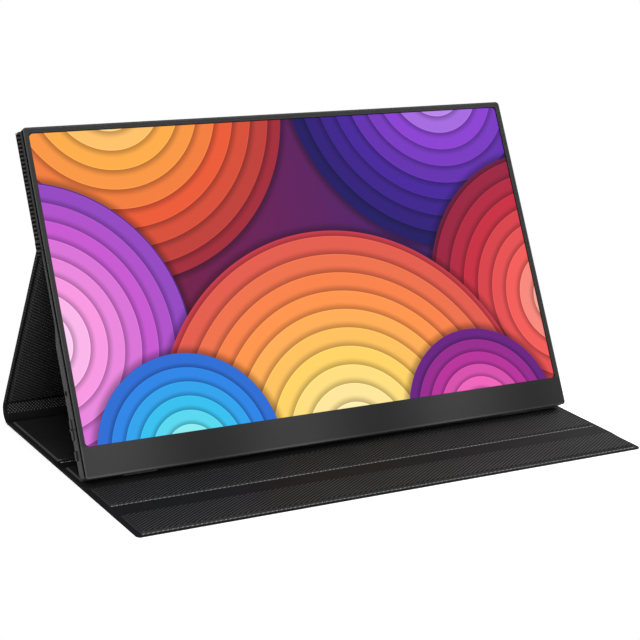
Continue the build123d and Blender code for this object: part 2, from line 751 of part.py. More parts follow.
def menu_rocker():
    """Long rocker with a small bump at its middle, which tips about a pin behind the wall."""
    flange_at = HOUSING_WALL + ROCKER_ROOM
    bar = SlotOverall(ROCKER_LENGTH, KEY_WIDTH)
    body = through_side(-1, bar, ROCKER_U, KEY_DEPTH, -ROCKER_PROUD, ROCKER_PROUD + flange_at)
    bump = Plane.XY.offset(-KEY_DEPTH) * Pos(-HALF_W - ROCKER_PROUD, ROCKER_U) * Circle(ROCKER_BUMP_R)
    body += extrude(bump, KEY_WIDTH / 2 - KEY_FIT, both=True)
    flange = Rectangle(ROCKER_LENGTH + KEY_FLANGE_EDGE, KEY_WIDTH + KEY_FLANGE_EDGE)
    body += through_side(-1, flange, ROCKER_U, KEY_DEPTH, flange_at, KEY_FLANGE)
    pin = Plane.XY.offset(-KEY_DEPTH) * Pos(-HALF_W + ROCKER_AXIS_IN, ROCKER_U) * Circle(SWITCH_NUB_R)
    body += extrude(pin, KEY_WIDTH / 2, both=True)
    return body


def headphone_jack():
    """Jack with a round nose in the wall's hole and a blind bore for a 3.5 mm plug."""
    nose_end = HOUSING_WALL + PORT_FIT
    block_end = JACK_BORE_LENGTH + JACK_END_WALL
    nose = through_side(-1, Circle(JACK_NOSE_R), JACK_U, JACK_DEPTH, 0, nose_end)
    block = Rectangle(JACK_BODY_W, JACK_BODY_H)
    body = nose + through_side(-1, block, JACK_U, JACK_DEPTH, nose_end, block_end - nose_end)
    return body - through_side(-1, Circle(JACK_BORE_R), JACK_U, JACK_DEPTH, 0, JACK_BORE_LENGTH)


def usb_c_port(u):
    """Stadium-shaped metal shell, open at the wall, with the flat tongue inside."""
    outline = SlotOverall(USB_C_W, USB_C_H)
    hollow = SlotOverall(USB_C_W - 2 * USB_C_SHELL, USB_C_H - 2 * USB_C_SHELL)
    tongue = Rectangle(USB_C_TONGUE_W, USB_C_TONGUE_H)
    depth = usb_c_depth()
    body = through_side(1, outline, u, depth, SOCKET_RECESS, USB_C_LENGTH)
    body -= through_side(1, hollow, u, depth, SOCKET_RECESS, USB_C_LENGTH - USB_C_SHELL)
    return body + through_side(1, tongue, u, depth, TONGUE_IN, USB_C_LENGTH - TONGUE_IN)


def mini_hdmi_port():
    """Six-sided metal shell, open at the wall, with the flat tongue inside."""
    depth = mini_hdmi_depth()
    tongue = Rectangle(MINI_HDMI_TONGUE_W, MINI_HDMI_TONGUE_H)
    length = MINI_HDMI_LENGTH
    body = through_side(1, mini_hdmi_outline(0), MINI_HDMI_U, depth, SOCKET_RECESS, length)
    hollow = mini_hdmi_outline(-MINI_HDMI_SHELL)
    body -= through_side(1, hollow, MINI_HDMI_U, depth, SOCKET_RECESS, length - MINI_HDMI_SHELL)
    return body + through_side(1, tongue, MINI_HDMI_U, depth, TONGUE_IN, length - TONGUE_IN)


def speaker(side):
    """Flat speaker whose oval cone faces the slots in the back wall."""
    x = side * SPEAKER_X
    far = THICK_INSIDE - SPEAKER_GAP
    body = plate(
        x - SPEAKER_W / 2,
        x + SPEAKER_W / 2,
        SPEAKER_U - SPEAKER_H / 2,
        SPEAKER_U + SPEAKER_H / 2,
        far - SPEAKER_THICK,
        far,
        SPEAKER_R,
    )
    recess = Pos(x, SPEAKER_U, -far) * SlotOverall(CONE_W, CONE_H)
    cap = Pos(x, SPEAKER_U, -far + CONE_RECESS) * SlotOverall(CAP_W, CAP_H)
    body -= extrude(recess, CONE_RECESS, taper=CONE_TAPER)
    return body + extrude(cap, -CONE_RECESS / 2, taper=CAP_TAPER)


def ribbon(points, radius, thick):
    """Outline of a flat cable of even thickness with rounded corners, cut square at both ends."""
    return trace(FilletPolyline(*points, radius=radius), line_width=thick)


def speaker_leads():
    """Twin lead of each speaker, along under the boards and up to one socket on the main board."""
    top = SPEAKER_U + SPEAKER_H / 2
    along = top + LEAD_ABOVE
    end_x = MAIN_BOARD_X + SPEAKER_SOCKET_X
    socket_u = MAIN_BOARD_U + SPEAKER_SOCKET_U + SPEAKER_SOCKET_H / 2
    leads = []
    for side in (-1, 1):
        start_x = side * (SPEAKER_X - SPEAKER_W / 2 + LEAD_IN)
        rise_x = end_x - LEAD_RISE + (side - 1) / 2 * LEAD_SPACING
        end_u = socket_u - side * LEAD_PITCH / 2
        points = [(start_x, top), (start_x, along), (rise_x, along), (rise_x, end_u), (end_x, end_u)]
        outline = ribbon(points, LEAD_BEND_R, LEAD_WIDTH)
        leads.append(extrude(Pos(0, 0, -LEAD_DEPTH - LEAD_THICK) * outline, LEAD_THICK))
    return Compound(children=leads)


def display_cable():
    """Flat cable from the main board's socket to the driver board."""
    left = MAIN_BOARD_X + PANEL_SOCKET_X + (PANEL_SOCKET_W - DISPLAY_CABLE_W) / 2
    low = DRIVER_BOARD_U + DRIVER_BOARD_H
    high = MAIN_BOARD_U + PANEL_SOCKET_U
    near = DISPLAY_CABLE_DEPTH
    return plate(left, left + DISPLAY_CABLE_W, low, high, near, near + RIBBON_THICK)


def key_cable():
    """Flat cable from the key board to the main board, along the housing's back wall."""
    start = KEY_BOARD_X + KEY_BOARD_W - KEY_CABLE_ON_BOARD
    end = MAIN_BOARD_X + KEY_SOCKET_X
    on_board = -(BOARD_BACK + RIBBON_THICK / 2)
    on_wall = -(THICK_INSIDE - RIBBON_THICK / 2 - KEY_CABLE_OFF_WALL)
    dip = KEY_CABLE_FLAT + KEY_CABLE_DIP
    points = [
        (start, on_board),
        (start + KEY_CABLE_FLAT, on_board),
        (start + dip, on_wall),
        (end - dip, on_wall),
        (end - KEY_CABLE_FLAT, on_board),
        (end, on_board),
    ]
    outline = ribbon(points, RIBBON_BEND_R, RIBBON_THICK)
    strip = extrude(Plane.XZ * outline, KEY_CABLE_W / 2, both=True)
    return Pos(0, KEY_CABLE_U, 0) * strip


def board_screws():
    """Low-headed screws through the boards into the posts."""
    screws = []
    for x, u in post_places():
        head = peg(x, u, BOARD_DEPTH - SCREW_HEAD, BOARD_DEPTH, SCREW_HEAD_R)
        head = chamfer(head.faces().sort_by(Axis.Z)[-1].edges(), SCREW_CHAMFER)
        shank = peg(x, u, BOARD_DEPTH, BOARD_DEPTH + SCREW_LENGTH, SCREW_R)
        screws.append(head + shank)
    return Compound(children=screws)


def bottom_feet():
    """Two rubber strips under the display, with their lower edges rounded."""
    feet = []
    for side in (-1, 1):
        x = side * FOOT_X
        foot = plate(
            x - FOOT_LENGTH / 2,
            x + FOOT_LENGTH / 2,
            -FOOT_HEIGHT,
            0,
            FOOT_BACK - FOOT_WIDTH,
            FOOT_BACK,
        )
        feet.append(fillet(foot.faces().sort_by(Axis.Y)[0].edges(), FOOT_EDGE_R))
    return Compound(children=feet)


def cover_panel(low, high, thick, border, low_border=0.0, round_end=0):
    """Skin of one stiffened panel, closed all round, with the room for its board inside.

    A sheet of the cover's full width carries a raised pillow over the board. A round end of -1 or 1
    rounds the two corners at the panel's low or high end.
    """
    sheet = panel_box(low, high, 0, SHEET_THICK, 0)
    pillow = panel_box(low + low_border, high, 0, thick, border)
    pillow = fillet(pillow.faces().sort_by(Axis.Z)[-1].edges(), PILLOW_R)
    panel = sheet + pillow
    if round_end:
        spare = 2 * COVER_CORNER_R
        outline = RectangleRounded(COVER_W, high - low + spare, COVER_CORNER_R)
        panel &= extrude(Pos(0, (low + high - round_end * spare) / 2) * outline, thick)
    return panel - panel_box(low + low_border + SKIN, high - SKIN, SKIN, thick - SKIN, border + SKIN)


def panel_box(low, high, outer, inner, border):
    """Block of the cover between two places along it and two heights over its outer face."""
    block = Box(COVER_W - 2 * border, high - low, inner - outer)
    return Pos(0, (low + high) / 2, (outer + inner) / 2) * block


def panel_board(low, high, thick, border):
    """Stiff board inside a panel's skin, with a little room all round."""
    gap = SKIN + BOARD_FIT
    return panel_box(low + gap, high - gap, gap, thick - gap, border + gap)


def magnet_places():
    """Middles of the magnets along the upper panel."""
    return [(i - (MAGNET_COUNT - 1) / 2) * MAGNET_PITCH for i in range(MAGNET_COUNT)]


def magnet(x, grow):
    """Flat bar magnet, or with grow its pocket, at the inner face of the upper panel's board."""
    top = UPPER_PANEL_THICK - SKIN - BOARD_FIT
    middle = (UPPER_LOW + UPPER_HIGH) / 2
    block = Box(MAGNET_LENGTH + 2 * grow, MAGNET_WIDTH + 2 * grow, MAGNET_THICK + grow)
    return Pos(x, middle, top - (MAGNET_THICK + grow) / 2) * block


def upper_panel_board():
    """Thick board of the upper panel, pocketed for its magnets."""
    board = panel_board(UPPER_LOW, UPPER_HIGH, UPPER_PANEL_THICK, 0)
    return board - [magnet(x, MAGNET_FIT) for x in magnet_places()]


def fold_strip(low, high):
    """Unstiffened strip between two panels that lie on the desk."""
    return panel_box(low + FOLD_FIT, high - FOLD_FIT, 0, SHEET_THICK, 0)


def bend(y, z, start, turn, inner, outer):
    """Part of a tube of the cover's width, round a line along X, from one angle through another."""
    section = Plane.XY * Pos(0, (inner + outer) / 2) * Rectangle(COVER_W, outer - inner)
    swept = revolve(section, Axis.X, turn)
    return Pos(0, y, z) * Rot(start, 0, 0) * swept


def spine_strip():
    """Round back of the cover, from the desk panel up into the leg."""
    desk_flat = DESK * panel_box(DESK_PANEL_BACK + FOLD_FIT, SPINE_Y, 0, SHEET_THICK, 0)
    leg_flat = LEG * panel_box(SPINE_TANGENT, LEG_LOW - FOLD_FIT, 0, SHEET_THICK, 0)
    curve = bend(SPINE_Y, SPINE_R, -90, 180 - LEG_ANGLE, SPINE_R - SHEET_THICK, SPINE_R)
    return desk_flat + curve + leg_flat


def top_fold_strip():
    """Strip from the upper panel round into the leg, bent about its own outer corner."""
    plane = DISPLAY * Pos(0, 0, -FOLD_DEPTH)
    upper_flat = plane * panel_box(FOLD_U, UPPER_LOW - FOLD_FIT, 0, SHEET_THICK, 0)
    leg_flat = LEG * panel_box(LEG_HIGH + FOLD_FIT, LEG_LENGTH, 0, SHEET_THICK, 0)
    start = 180 - TILT
    curve = bend(FOLD_Y, FOLD_Z, start, 270 - LEG_ANGLE - start, 0, SHEET_THICK)
    return upper_flat + curve + leg_flat


def fold_axes():
    """Where each fold of the cover turns, as (y, z) before the move to the origin."""
    middle = SPINE_R - SHEET_THICK / 2
    half_turn = math.radians((180 - LEG_ANGLE) / 2)
    sheet = SHEET_THICK / 2
    return {
        "front edge": (0, FRONT_EDGE_Z),
        "screen fold": (FOLD_Y, FOLD_Z),
        "leg fold": (SPINE_Y + middle * math.sin(half_turn), SPINE_R - middle * math.cos(half_turn)),
        "flap fold 1": ((FLAP_B_BACK + DESK_PANEL_FRONT) / 2, sheet),
        "flap fold 2": (FLAP_C_BACK + FLAP_C_LEAD, sheet),
        "flap fold 3": ((FLAP_D_BACK + FLAP_C_FRONT) / 2, sheet),
    }


def key_axes():
    """Middles of the power button's face, the rocker's pin, the jack's mouth and the sockets' mouths."""
    mouth = HALF_W - SOCKET_RECESS
    places = {
        "power button": (-HALF_W - POWER_PROUD, POWER_U, -KEY_DEPTH),
        "rocker pin": (-HALF_W + ROCKER_AXIS_IN, ROCKER_U, -KEY_DEPTH),
        "jack mouth": (-HALF_W, JACK_U, -JACK_DEPTH),
        "video socket": (mouth, MINI_HDMI_U, -mini_hdmi_depth()),
        "first reversible socket": (mouth, USB_C_US[0], -usb_c_depth()),
        "second reversible socket": (mouth, USB_C_US[1], -usb_c_depth()),
    }
    return {name: (TO_ORIGIN * DISPLAY * Pos(*place)).position for name, place in places.items()}


def main():
    upper_plane = DISPLAY * Pos(0, 0, -UPPER_OUTER)
    desk_board = (DESK_PANEL_FRONT, DESK_PANEL_BACK)
    flap_b = (FLAP_B_FRONT, FLAP_B_BACK)
    flap_c = (FLAP_C_FRONT, FLAP_C_BACK)
    flap_d = (FLAP_D_FRONT, FLAP_D_BACK)
    upper = (UPPER_LOW, UPPER_HIGH)
    leg = (LEG_LOW, LEG_HIGH)
    in_display = {
        "front_frame": front_frame(),
        "gap_seal": gap_seal(),
        "rear_housing": rear_housing(),
        "lcd_glass": lcd_glass(),
        "optical_films": module_sheet(FILM_DEPTH, FILM_THICK),
        "light_guide": module_sheet(GUIDE_DEPTH, GUIDE_THICK),
        "reflector_sheet": module_sheet(REFLECTOR_DEPTH, REFLECTOR_THICK),
        "led_bar": led_bar(),
        "lcd_tray": lcd_tray(),
        "panel_driver_board": panel_driver_board(),
        "panel_flexes": panel_flexes(),
        "main_board": main_board(),
        "board_parts": board_parts(),
        "key_board": key_board(),
        "key_switches": key_switches(),
        "power_button": power_button(),
        "menu_rocker": menu_rocker(),
        "headphone_jack": headphone_jack(),
        "usb_c_port_1": usb_c_port(USB_C_US[0]),
        "usb_c_port_2": usb_c_port(USB_C_US[1]),
        "mini_hdmi_port": mini_hdmi_port(),
        "speaker_left": speaker(-1),
        "speaker_right": speaker(1),
        "speaker_leads": speaker_leads(),
        "display_cable": display_cable(),
        "key_cable": key_cable(),
        "board_screws": board_screws(),
        "bottom_feet": bottom_feet(),
    }
    in_cover = {
        "upper_panel_cover": upper_plane * cover_panel(*upper, UPPER_PANEL_THICK, 0, round_end=1),
        "upper_panel_board": upper_plane * upper_panel_board(),
        "holding_magnets": upper_plane * Compound(children=[magnet(x, 0) for x in magnet_places()]),
        "leg_panel_cover": LEG * cover_panel(*leg, PANEL_THICK, BORDER),
        "leg_panel_board": LEG * panel_board(*leg, PANEL_THICK, BORDER),
        "desk_panel_cover": DESK * cover_panel(*desk_board, PANEL_THICK, BORDER),
        "desk_panel_board": DESK * panel_board(*desk_board, PANEL_THICK, BORDER),
        "flap_b_cover": DESK * cover_panel(*flap_b, PANEL_THICK, BORDER),
        "flap_b_board": DESK * panel_board(*flap_b, PANEL_THICK, BORDER),
        "flap_c_cover": DESK * cover_panel(*flap_c, PANEL_THICK, BORDER),
        "flap_c_board": DESK * panel_board(*flap_c, PANEL_THICK, BORDER),
        "flap_d_cover": DESK
        * cover_panel(COVER_FRONT, FLAP_D_BACK, PANEL_THICK, BORDER, FRONT_BORDER, round_end=-1),
        "flap_d_board": DESK * panel_board(*flap_d, PANEL_THICK, BORDER),
        "fold_strip_1": DESK * fold_strip(FLAP_B_BACK, DESK_PANEL_FRONT),
        "fold_strip_2": DESK * fold_strip(FLAP_C_BACK, FLAP_B_FRONT),
        "fold_strip_3": DESK * fold_strip(FLAP_D_BACK, FLAP_C_FRONT),
        "spine_strip": spine_strip(),
        "top_fold_strip": top_fold_strip(),
    }
    pieces = {name: DISPLAY * solid for name, solid in in_display.items()}
    pieces.update(in_cover)
    os.makedirs("parts", exist_ok=True)
    for name, solid in pieces.items():
        export_step(TO_ORIGIN * solid, f"parts/{name}.step")
    for name, (y, z) in fold_axes().items():
        print(name, "along X at y", round(y + TO_ORIGIN.position.Y, 3), "z", round(z, 3))
    for name, place in key_axes().items():
        print(name, "at", [round(number, 3) for number in place])


main()
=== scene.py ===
import math

import bpy
import numpy as np
from mathutils import Matrix, Vector


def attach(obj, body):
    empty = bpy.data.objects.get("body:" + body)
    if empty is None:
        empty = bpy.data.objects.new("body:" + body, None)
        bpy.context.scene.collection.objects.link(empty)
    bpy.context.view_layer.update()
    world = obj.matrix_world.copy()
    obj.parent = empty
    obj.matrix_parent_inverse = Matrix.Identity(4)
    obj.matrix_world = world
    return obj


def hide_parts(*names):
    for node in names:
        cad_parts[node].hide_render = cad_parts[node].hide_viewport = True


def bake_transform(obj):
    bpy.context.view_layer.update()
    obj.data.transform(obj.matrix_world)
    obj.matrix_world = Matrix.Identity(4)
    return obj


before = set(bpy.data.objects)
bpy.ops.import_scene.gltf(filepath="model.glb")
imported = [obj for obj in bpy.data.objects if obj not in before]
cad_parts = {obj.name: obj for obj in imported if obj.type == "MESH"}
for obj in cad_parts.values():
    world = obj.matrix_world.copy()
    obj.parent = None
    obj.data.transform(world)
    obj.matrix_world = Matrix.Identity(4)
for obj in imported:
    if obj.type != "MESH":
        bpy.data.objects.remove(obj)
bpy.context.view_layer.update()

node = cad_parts


# The camera stands to the left of the monitor, a little above it, and looks down on the cover's
# flaps with a slight roll. A long lens keeps the screen's sides nearly parallel.
CAMERA_PLACE = (-0.56001, -0.94130, 0.39341)
CAMERA_YAW = math.radians(30.529)
CAMERA_PITCH = math.radians(16.101)
CAMERA_ROLL = math.radians(2.453)
LENS_MM = 100.94

camera = bpy.data.objects.new("camera", bpy.data.cameras.new("camera"))
bpy.context.collection.objects.link(camera)
camera.data.sensor_width = 36.0
camera.data.lens = LENS_MM
ahead = Vector((
    math.sin(CAMERA_YAW) * math.cos(CAMERA_PITCH),
    math.cos(CAMERA_YAW) * math.cos(CAMERA_PITCH),
    -math.sin(CAMERA_PITCH),
))
level = Vector((math.cos(CAMERA_YAW), -math.sin(CAMERA_YAW), 0))
upright = level.cross(ahead)
across = level * math.cos(CAMERA_ROLL) + upright * math.sin(CAMERA_ROLL)
top = upright * math.cos(CAMERA_ROLL) - level * math.sin(CAMERA_ROLL)
turn = Matrix((across, top, -ahead)).transposed()
camera.matrix_world = Matrix.Translation(CAMERA_PLACE) @ turn.to_4x4()
camera.data.clip_start = 0.05
camera.data.clip_end = 60
bpy.context.scene.camera = camera
bpy.context.scene.view_settings.view_transform = "Standard"


# The desk is a plain white top that runs out past the view. It takes a soft shadow round the
# cover's edge, and within a hand's width of the cover it fades to plain white for the camera.
FLOOR_HALF = 15.0
FLOOR_COLOUR = (0.86, 0.86, 0.86, 1)
FLOOR_LIFT = 0.55
COVER_HALVES = (0.178, 0.106)
SHADE_REACH = 0.07


def shader_of(material, kind):
    """Empty a material's node tree and give it one shader of this kind, joined to its output."""
    material.use_nodes = True
    tree = material.node_tree
    tree.nodes.clear()
    out = tree.nodes.new("ShaderNodeOutputMaterial")
    shader = tree.nodes.new(kind)
    tree.links.new(shader.outputs[0], out.inputs["Surface"])
    return tree, shader, out


class Shading:
    """Short calls that add nodes to one node tree."""

    def __init__(self, tree):
        self.tree = tree

    def put(self, socket, value):
        """Join the socket to another one, or give it a number or colour."""
        if isinstance(value, bpy.types.NodeSocket):
            self.tree.links.new(value, socket)
        else:
            socket.default_value = value

    def math(self, operation, a, b=0.0, c=0.0):
        """One math node's result."""
        made = self.tree.nodes.new("ShaderNodeMath")
        made.operation = operation
        for socket, value in zip(made.inputs, (a, b, c)):
            self.put(socket, value)
        return made.outputs[0]

    def ramp(self, value, low, high, out_low=0.0, out_high=1.0, smooth=True):
        """The value carried from one range to another, eased at both ends and held past them."""
        made = self.tree.nodes.new("ShaderNodeMapRange")
        made.interpolation_type = "SMOOTHSTEP" if smooth else "LINEAR"
        for socket, number in zip(made.inputs[:5], (value, low, high, out_low, out_high)):
            self.put(socket, number)
        return made.outputs[0]

    def mix(self, factor, a, b):
        """Two colours, mixed by a factor."""
        made = self.tree.nodes.new("ShaderNodeMix")
        made.data_type = "RGBA"
        self.put(made.inputs["Factor"], factor)
        self.put(made.inputs["A"], a)
        self.put(made.inputs["B"], b)
        return made.outputs["Result"]

    def shade(self, colour, level):
        """A colour made darker or lighter by a level."""
        made = self.tree.nodes.new("ShaderNodeVectorMath")
        made.operation = "SCALE"
        self.put(made.inputs[0], colour[:3] if isinstance(colour, tuple) else colour)
        self.put(made.inputs["Scale"], level)
        return made.outputs[0]

    def noise(self, place, scale, detail=2.0):
        """A noise texture's value at a place."""
        made = self.tree.nodes.new("ShaderNodeTexNoise")
        self.put(made.inputs["Vector"], place)
        made.inputs["Scale"].default_value = scale
        made.inputs["Detail"].default_value = detail
        return made.outputs["Fac"]

    def relief(self, shader, height, distance):
        """Bump a shader's surface by a height, whose full step is this distance."""
        made = self.tree.nodes.new("ShaderNodeBump")
        made.inputs["Distance"].default_value = distance
        self.put(made.inputs["Height"], height)
        self.tree.links.new(made.outputs[0], shader.inputs["Normal"])


desk_mesh = bpy.data.meshes.new("desk_top")
h = FLOOR_HALF
desk_mesh.from_pydata([(-h, -h, 0), (h, -h, 0), (h, h, 0), (-h, h, 0)], [], [(0, 1, 2, 3)])
desk_top = bpy.data.objects.new("desk_top", desk_mesh)
bpy.context.collection.objects.link(desk_top)
white_top = bpy.data.materials.new("white_top")
tree, diffuse, out = shader_of(white_top, "ShaderNodeBsdfDiffuse")
diffuse.inputs["Color"].default_value = FLOOR_COLOUR
shading = Shading(tree)
rays = tree.nodes.new("ShaderNodeLightPath").outputs
seen = shading.math("MAXIMUM", rays["Is Camera Ray"], rays["Is Glossy Ray"])
glow = tree.nodes.new("ShaderNodeEmission")
tree.links.new(shading.math("MULTIPLY", seen, FLOOR_LIFT), glow.inputs["Strength"])
both = tree.nodes.new("ShaderNodeAddShader")
tree.links.new(diffuse.outputs[0], both.inputs[0])
tree.links.new(glow.outputs[0], both.inputs[1])
white = tree.nodes.new("ShaderNodeEmission")
spot = tree.nodes.new("ShaderNodeTexCoord")
outside = spot.outputs["Object"]
for operation, amounts in (
    ("ABSOLUTE", (0, 0, 0)),
    ("SUBTRACT", (*COVER_HALVES, 0)),
    ("MAXIMUM", (0, 0, 0)),
    ("LENGTH", (0, 0, 0)),
):
    step = tree.nodes.new("ShaderNodeVectorMath")
    step.operation = operation
    tree.links.new(outside, step.inputs[0])
    step.inputs[1].default_value = amounts
    outside = step.outputs["Value" if operation == "LENGTH" else "Vector"]
past_edge = shading.math("MULTIPLY", shading.ramp(outside, 0.0, SHADE_REACH), seen)
top_finish = tree.nodes.new("ShaderNodeMixShader")
tree.links.new(past_edge, top_finish.inputs["Fac"])
tree.links.new(both.outputs[0], top_finish.inputs[1])
tree.links.new(white.outputs[0], top_finish.inputs[2])
tree.links.new(top_finish.outputs[0], out.inputs["Surface"])
desk_mesh.materials.append(white_top)


# The studio is an even pale room with a soft lamp over the left shoulder, a low one in front, two
# on the right near the screen's plane, which mostly light the flaps, and a high one behind.
ROOM_LEVEL = 0.32
LAMPS = {
    "key_lamp": ((-0.75, -1.35, 1.4), 0.9, 17.0),
    "front_lamp": ((-0.45, -1.60, 0.22), 0.4, 9.0),
    "side_lamp": ((0.66, 0.18, 0.50), 0.5, 4.8),
    "low_lamp": ((0.80, 0.14, 0.22), 0.4, 1.1),
    "back_lamp": ((0.3, 1.6, 1.6), 1.8, 9.0),
}
LAMP_TARGET = (0, 0, 0.08)

world = bpy.data.worlds.new("studio")
bpy.context.scene.world = world
world.use_nodes = True
room = world.node_tree
background = room.nodes["Background"]
background.inputs["Color"].default_value = (1, 1, 1, 1)
shading = Shading(room)
rays = room.nodes.new("ShaderNodeLightPath").outputs
shown = shading.math("MAXIMUM", rays["Is Camera Ray"], rays["Is Transmission Ray"])
strength = shading.ramp(shown, 0.0, 1.0, ROOM_LEVEL, 1.0, smooth=False)
room.links.new(strength, background.inputs["Strength"])
for name, (place, size, power) in LAMPS.items():
    lamp = bpy.data.lights.new(name, "AREA")
    lamp.size = size
    lamp.energy = power
    lamp_object = bpy.data.objects.new(name, lamp)
    lamp_object.location = place
    aim = Vector(LAMP_TARGET) - Vector(place)
    lamp_object.rotation_euler = aim.to_track_quat("-Z", "Y").to_euler()
    bpy.context.collection.objects.link(lamp_object)


# The front frame, rear housing and keys are moulded in dark grey plastic with a fine matt spark
# texture. The same mould finish, in other greys, covers the small plastic pieces inside.
PATCH_SCALE = 18.0
GREY_SPREAD = 0.12
GLOSS_SPREAD = 0.05


def moulded(name, colour, roughness, grain=2400.0, relief=0.000012):
    """Moulded plastic. Its relief is a fine noise, and a slow noise varies its grey and gloss."""
    material = bpy.data.materials.new(name)
    tree, shader, _ = shader_of(material, "ShaderNodeBsdfPrincipled")
    shading = Shading(tree)
    place = tree.nodes.new("ShaderNodeTexCoord").outputs["Object"]
    fine = shading.noise(place, grain, 3.0)
    slow = shading.noise(place, PATCH_SCALE, 4.0)
    darker, lighter = ((*[c * k for c in colour], 1) for k in (1 - GREY_SPREAD, 1 + GREY_SPREAD))
    tree.links.new(shading.mix(slow, darker, lighter), shader.inputs["Base Color"])
    glossier, duller = roughness - GLOSS_SPREAD, roughness + GLOSS_SPREAD
    gloss = shading.ramp(slow, 0.0, 1.0, glossier, duller, smooth=False)
    tree.links.new(gloss, shader.inputs["Roughness"])
    shader.inputs["Specular IOR Level"].default_value = 0.22
    shading.relief(shader, fine, relief)
    return material


def finish_nodes(material, *names):
    """Put one material in every slot of these CAD pieces."""
    for name in names:
        for slot in node[name].material_slots:
            slot.material = material


finish_nodes(moulded("housing_grey", (0.040, 0.040, 0.041), 0.55), "rear_housing")
finish_nodes(moulded("key_black", (0.010, 0.010, 0.011), 0.42), "power_button", "menu_rocker")
finish_nodes(moulded("jack_black", (0.012, 0.012, 0.013), 0.34), "headphone_jack")
finish_nodes(moulded("seal_black", (0.006, 0.006, 0.006), 0.8, 900.0, 0.0001), "gap_seal")
finish_nodes(moulded("foot_grey", (0.055, 0.055, 0.056), 0.7, 1500.0, 0.00006), "bottom_feet")
finish_nodes(moulded("chip_black", (0.02, 0.02, 0.022), 0.4), "board_parts", "key_switches")
finish_nodes(moulded("speaker_black", (0.02, 0.02, 0.02), 0.5), "speaker_left", "speaker_right")
finish_nodes(
    moulded("board_green", (0.015, 0.12, 0.05), 0.35, 700.0),
    "main_board",
    "key_board",
    "panel_driver_board",
)
finish_nodes(
    moulded("film_amber", (0.35, 0.16, 0.03), 0.3, 900.0),
    "panel_flexes",
    "display_cable",
    "key_cable",
)
finish_nodes(moulded("lead_red", (0.4, 0.03, 0.03), 0.4), "speaker_leads")
finish_nodes(
    moulded("film_white", (0.75, 0.75, 0.75), 0.35, 900.0),
    "optical_films",
    "light_guide",
    "reflector_sheet",
    "led_bar",
)


# The front frame is moulded in a like grey, and its narrow rim is painted lighter, a painted
# highlight. Its outer edge and walls are painted black apart from the foot, painted shade like the
# black seam behind them. The broad lower bar has soft upright bands of painted reflection on it,
# lighter and darker as a cosine of X along it.
SLOPE_SINE = 0.47147
SLOPE_COSINE = 0.88188
FRONT_EDGE = (0, -0.027822, 0.006617)
HALF_WIDTH = 0.17558
SCREEN_HEIGHT = 0.21609
PAINTED_SHADE_EDGE_WIDTH = 0.00022
RIM_WIDTH = 0.0013
RIM_HIGHLIGHT_LIFT = 0.9
PAINTED_SHADE_DEPTH = 0.00028
PAINTED_SHADE_BLACK = (0.0015, 0.0015, 0.0015, 1)
SHADE_FOOT_FADE = (0.0008, 0.0012)
REFLECTION_BAR_FADE = (0.0200, 0.0185)
REFLECTION_BAND_PEAK = 0.090
REFLECTION_BAND_PITCH = 0.125
REFLECTION_BAND_DEPTH = 0.38


def screen_axes(tree):
    """X, the height up the screen and the depth behind its face, from the Object coordinates: a
    turn about X by the slope's angle, and a shift that brings the face's lower edge to zero."""
    where = tree.nodes.new("ShaderNodeTexCoord")
    turned = tree.nodes.new("ShaderNodeMapping")
    turned.inputs["Rotation"].default_value = (-math.acos(SLOPE_SINE), 0, 0)
    turned.inputs["Location"].default_value = (
        0,
        -FRONT_EDGE[1] * SLOPE_SINE - FRONT_EDGE[2] * SLOPE_COSINE,
        FRONT_EDGE[1] * SLOPE_COSINE - FRONT_EDGE[2] * SLOPE_SINE,
    )
    tree.links.new(where.outputs["Object"], turned.inputs["Vector"])
    split = tree.nodes.new("ShaderNodeSeparateXYZ")
    tree.links.new(turned.outputs[0], split.inputs[0])
    behind = Shading(tree).math("MULTIPLY", split.outputs["Z"], -1.0)
    return split.outputs["X"], split.outputs["Y"], behind


frame_grey = moulded("frame_grey", (0.032, 0.032, 0.033), 0.4)
tree = frame_grey.node_tree
shading = Shading(tree)
face = tree.nodes["Principled BSDF"]
x, u, behind = screen_axes(tree)
from_side = shading.math("SUBTRACT", HALF_WIDTH, shading.math("ABSOLUTE", x))
edge = shading.math("MINIMUM", from_side, u)
edge = shading.math("MINIMUM", edge, shading.math("SUBTRACT", SCREEN_HEIGHT, u))
# Painted highlight: the narrow rim round the face is made lighter.
rim_highlight_mask = shading.ramp(edge, RIM_WIDTH, RIM_WIDTH - 0.0003)
# Painted reflections: soft upright bands on the lower bar, lighter and darker as a cosine of X.
turns_x = shading.math("MULTIPLY", shading.math("SUBTRACT", x, REFLECTION_BAND_PEAK), 2 * math.pi / REFLECTION_BAND_PITCH)
reflection_bands = shading.math("MULTIPLY", shading.math("COSINE", turns_x), REFLECTION_BAND_DEPTH)
reflection_bands = shading.math("MULTIPLY", reflection_bands, shading.ramp(u, *REFLECTION_BAR_FADE))
own_grey = face.inputs["Base Color"].links[0].from_socket
with_painted_reflections = shading.shade(own_grey, shading.math("ADD", reflection_bands, 1.0))
with_rim_highlight = shading.shade(with_painted_reflections, shading.math("MULTIPLY_ADD", rim_highlight_mask, RIM_HIGHLIGHT_LIFT, 1.0))
tree.links.new(with_rim_highlight, face.inputs["Base Color"])
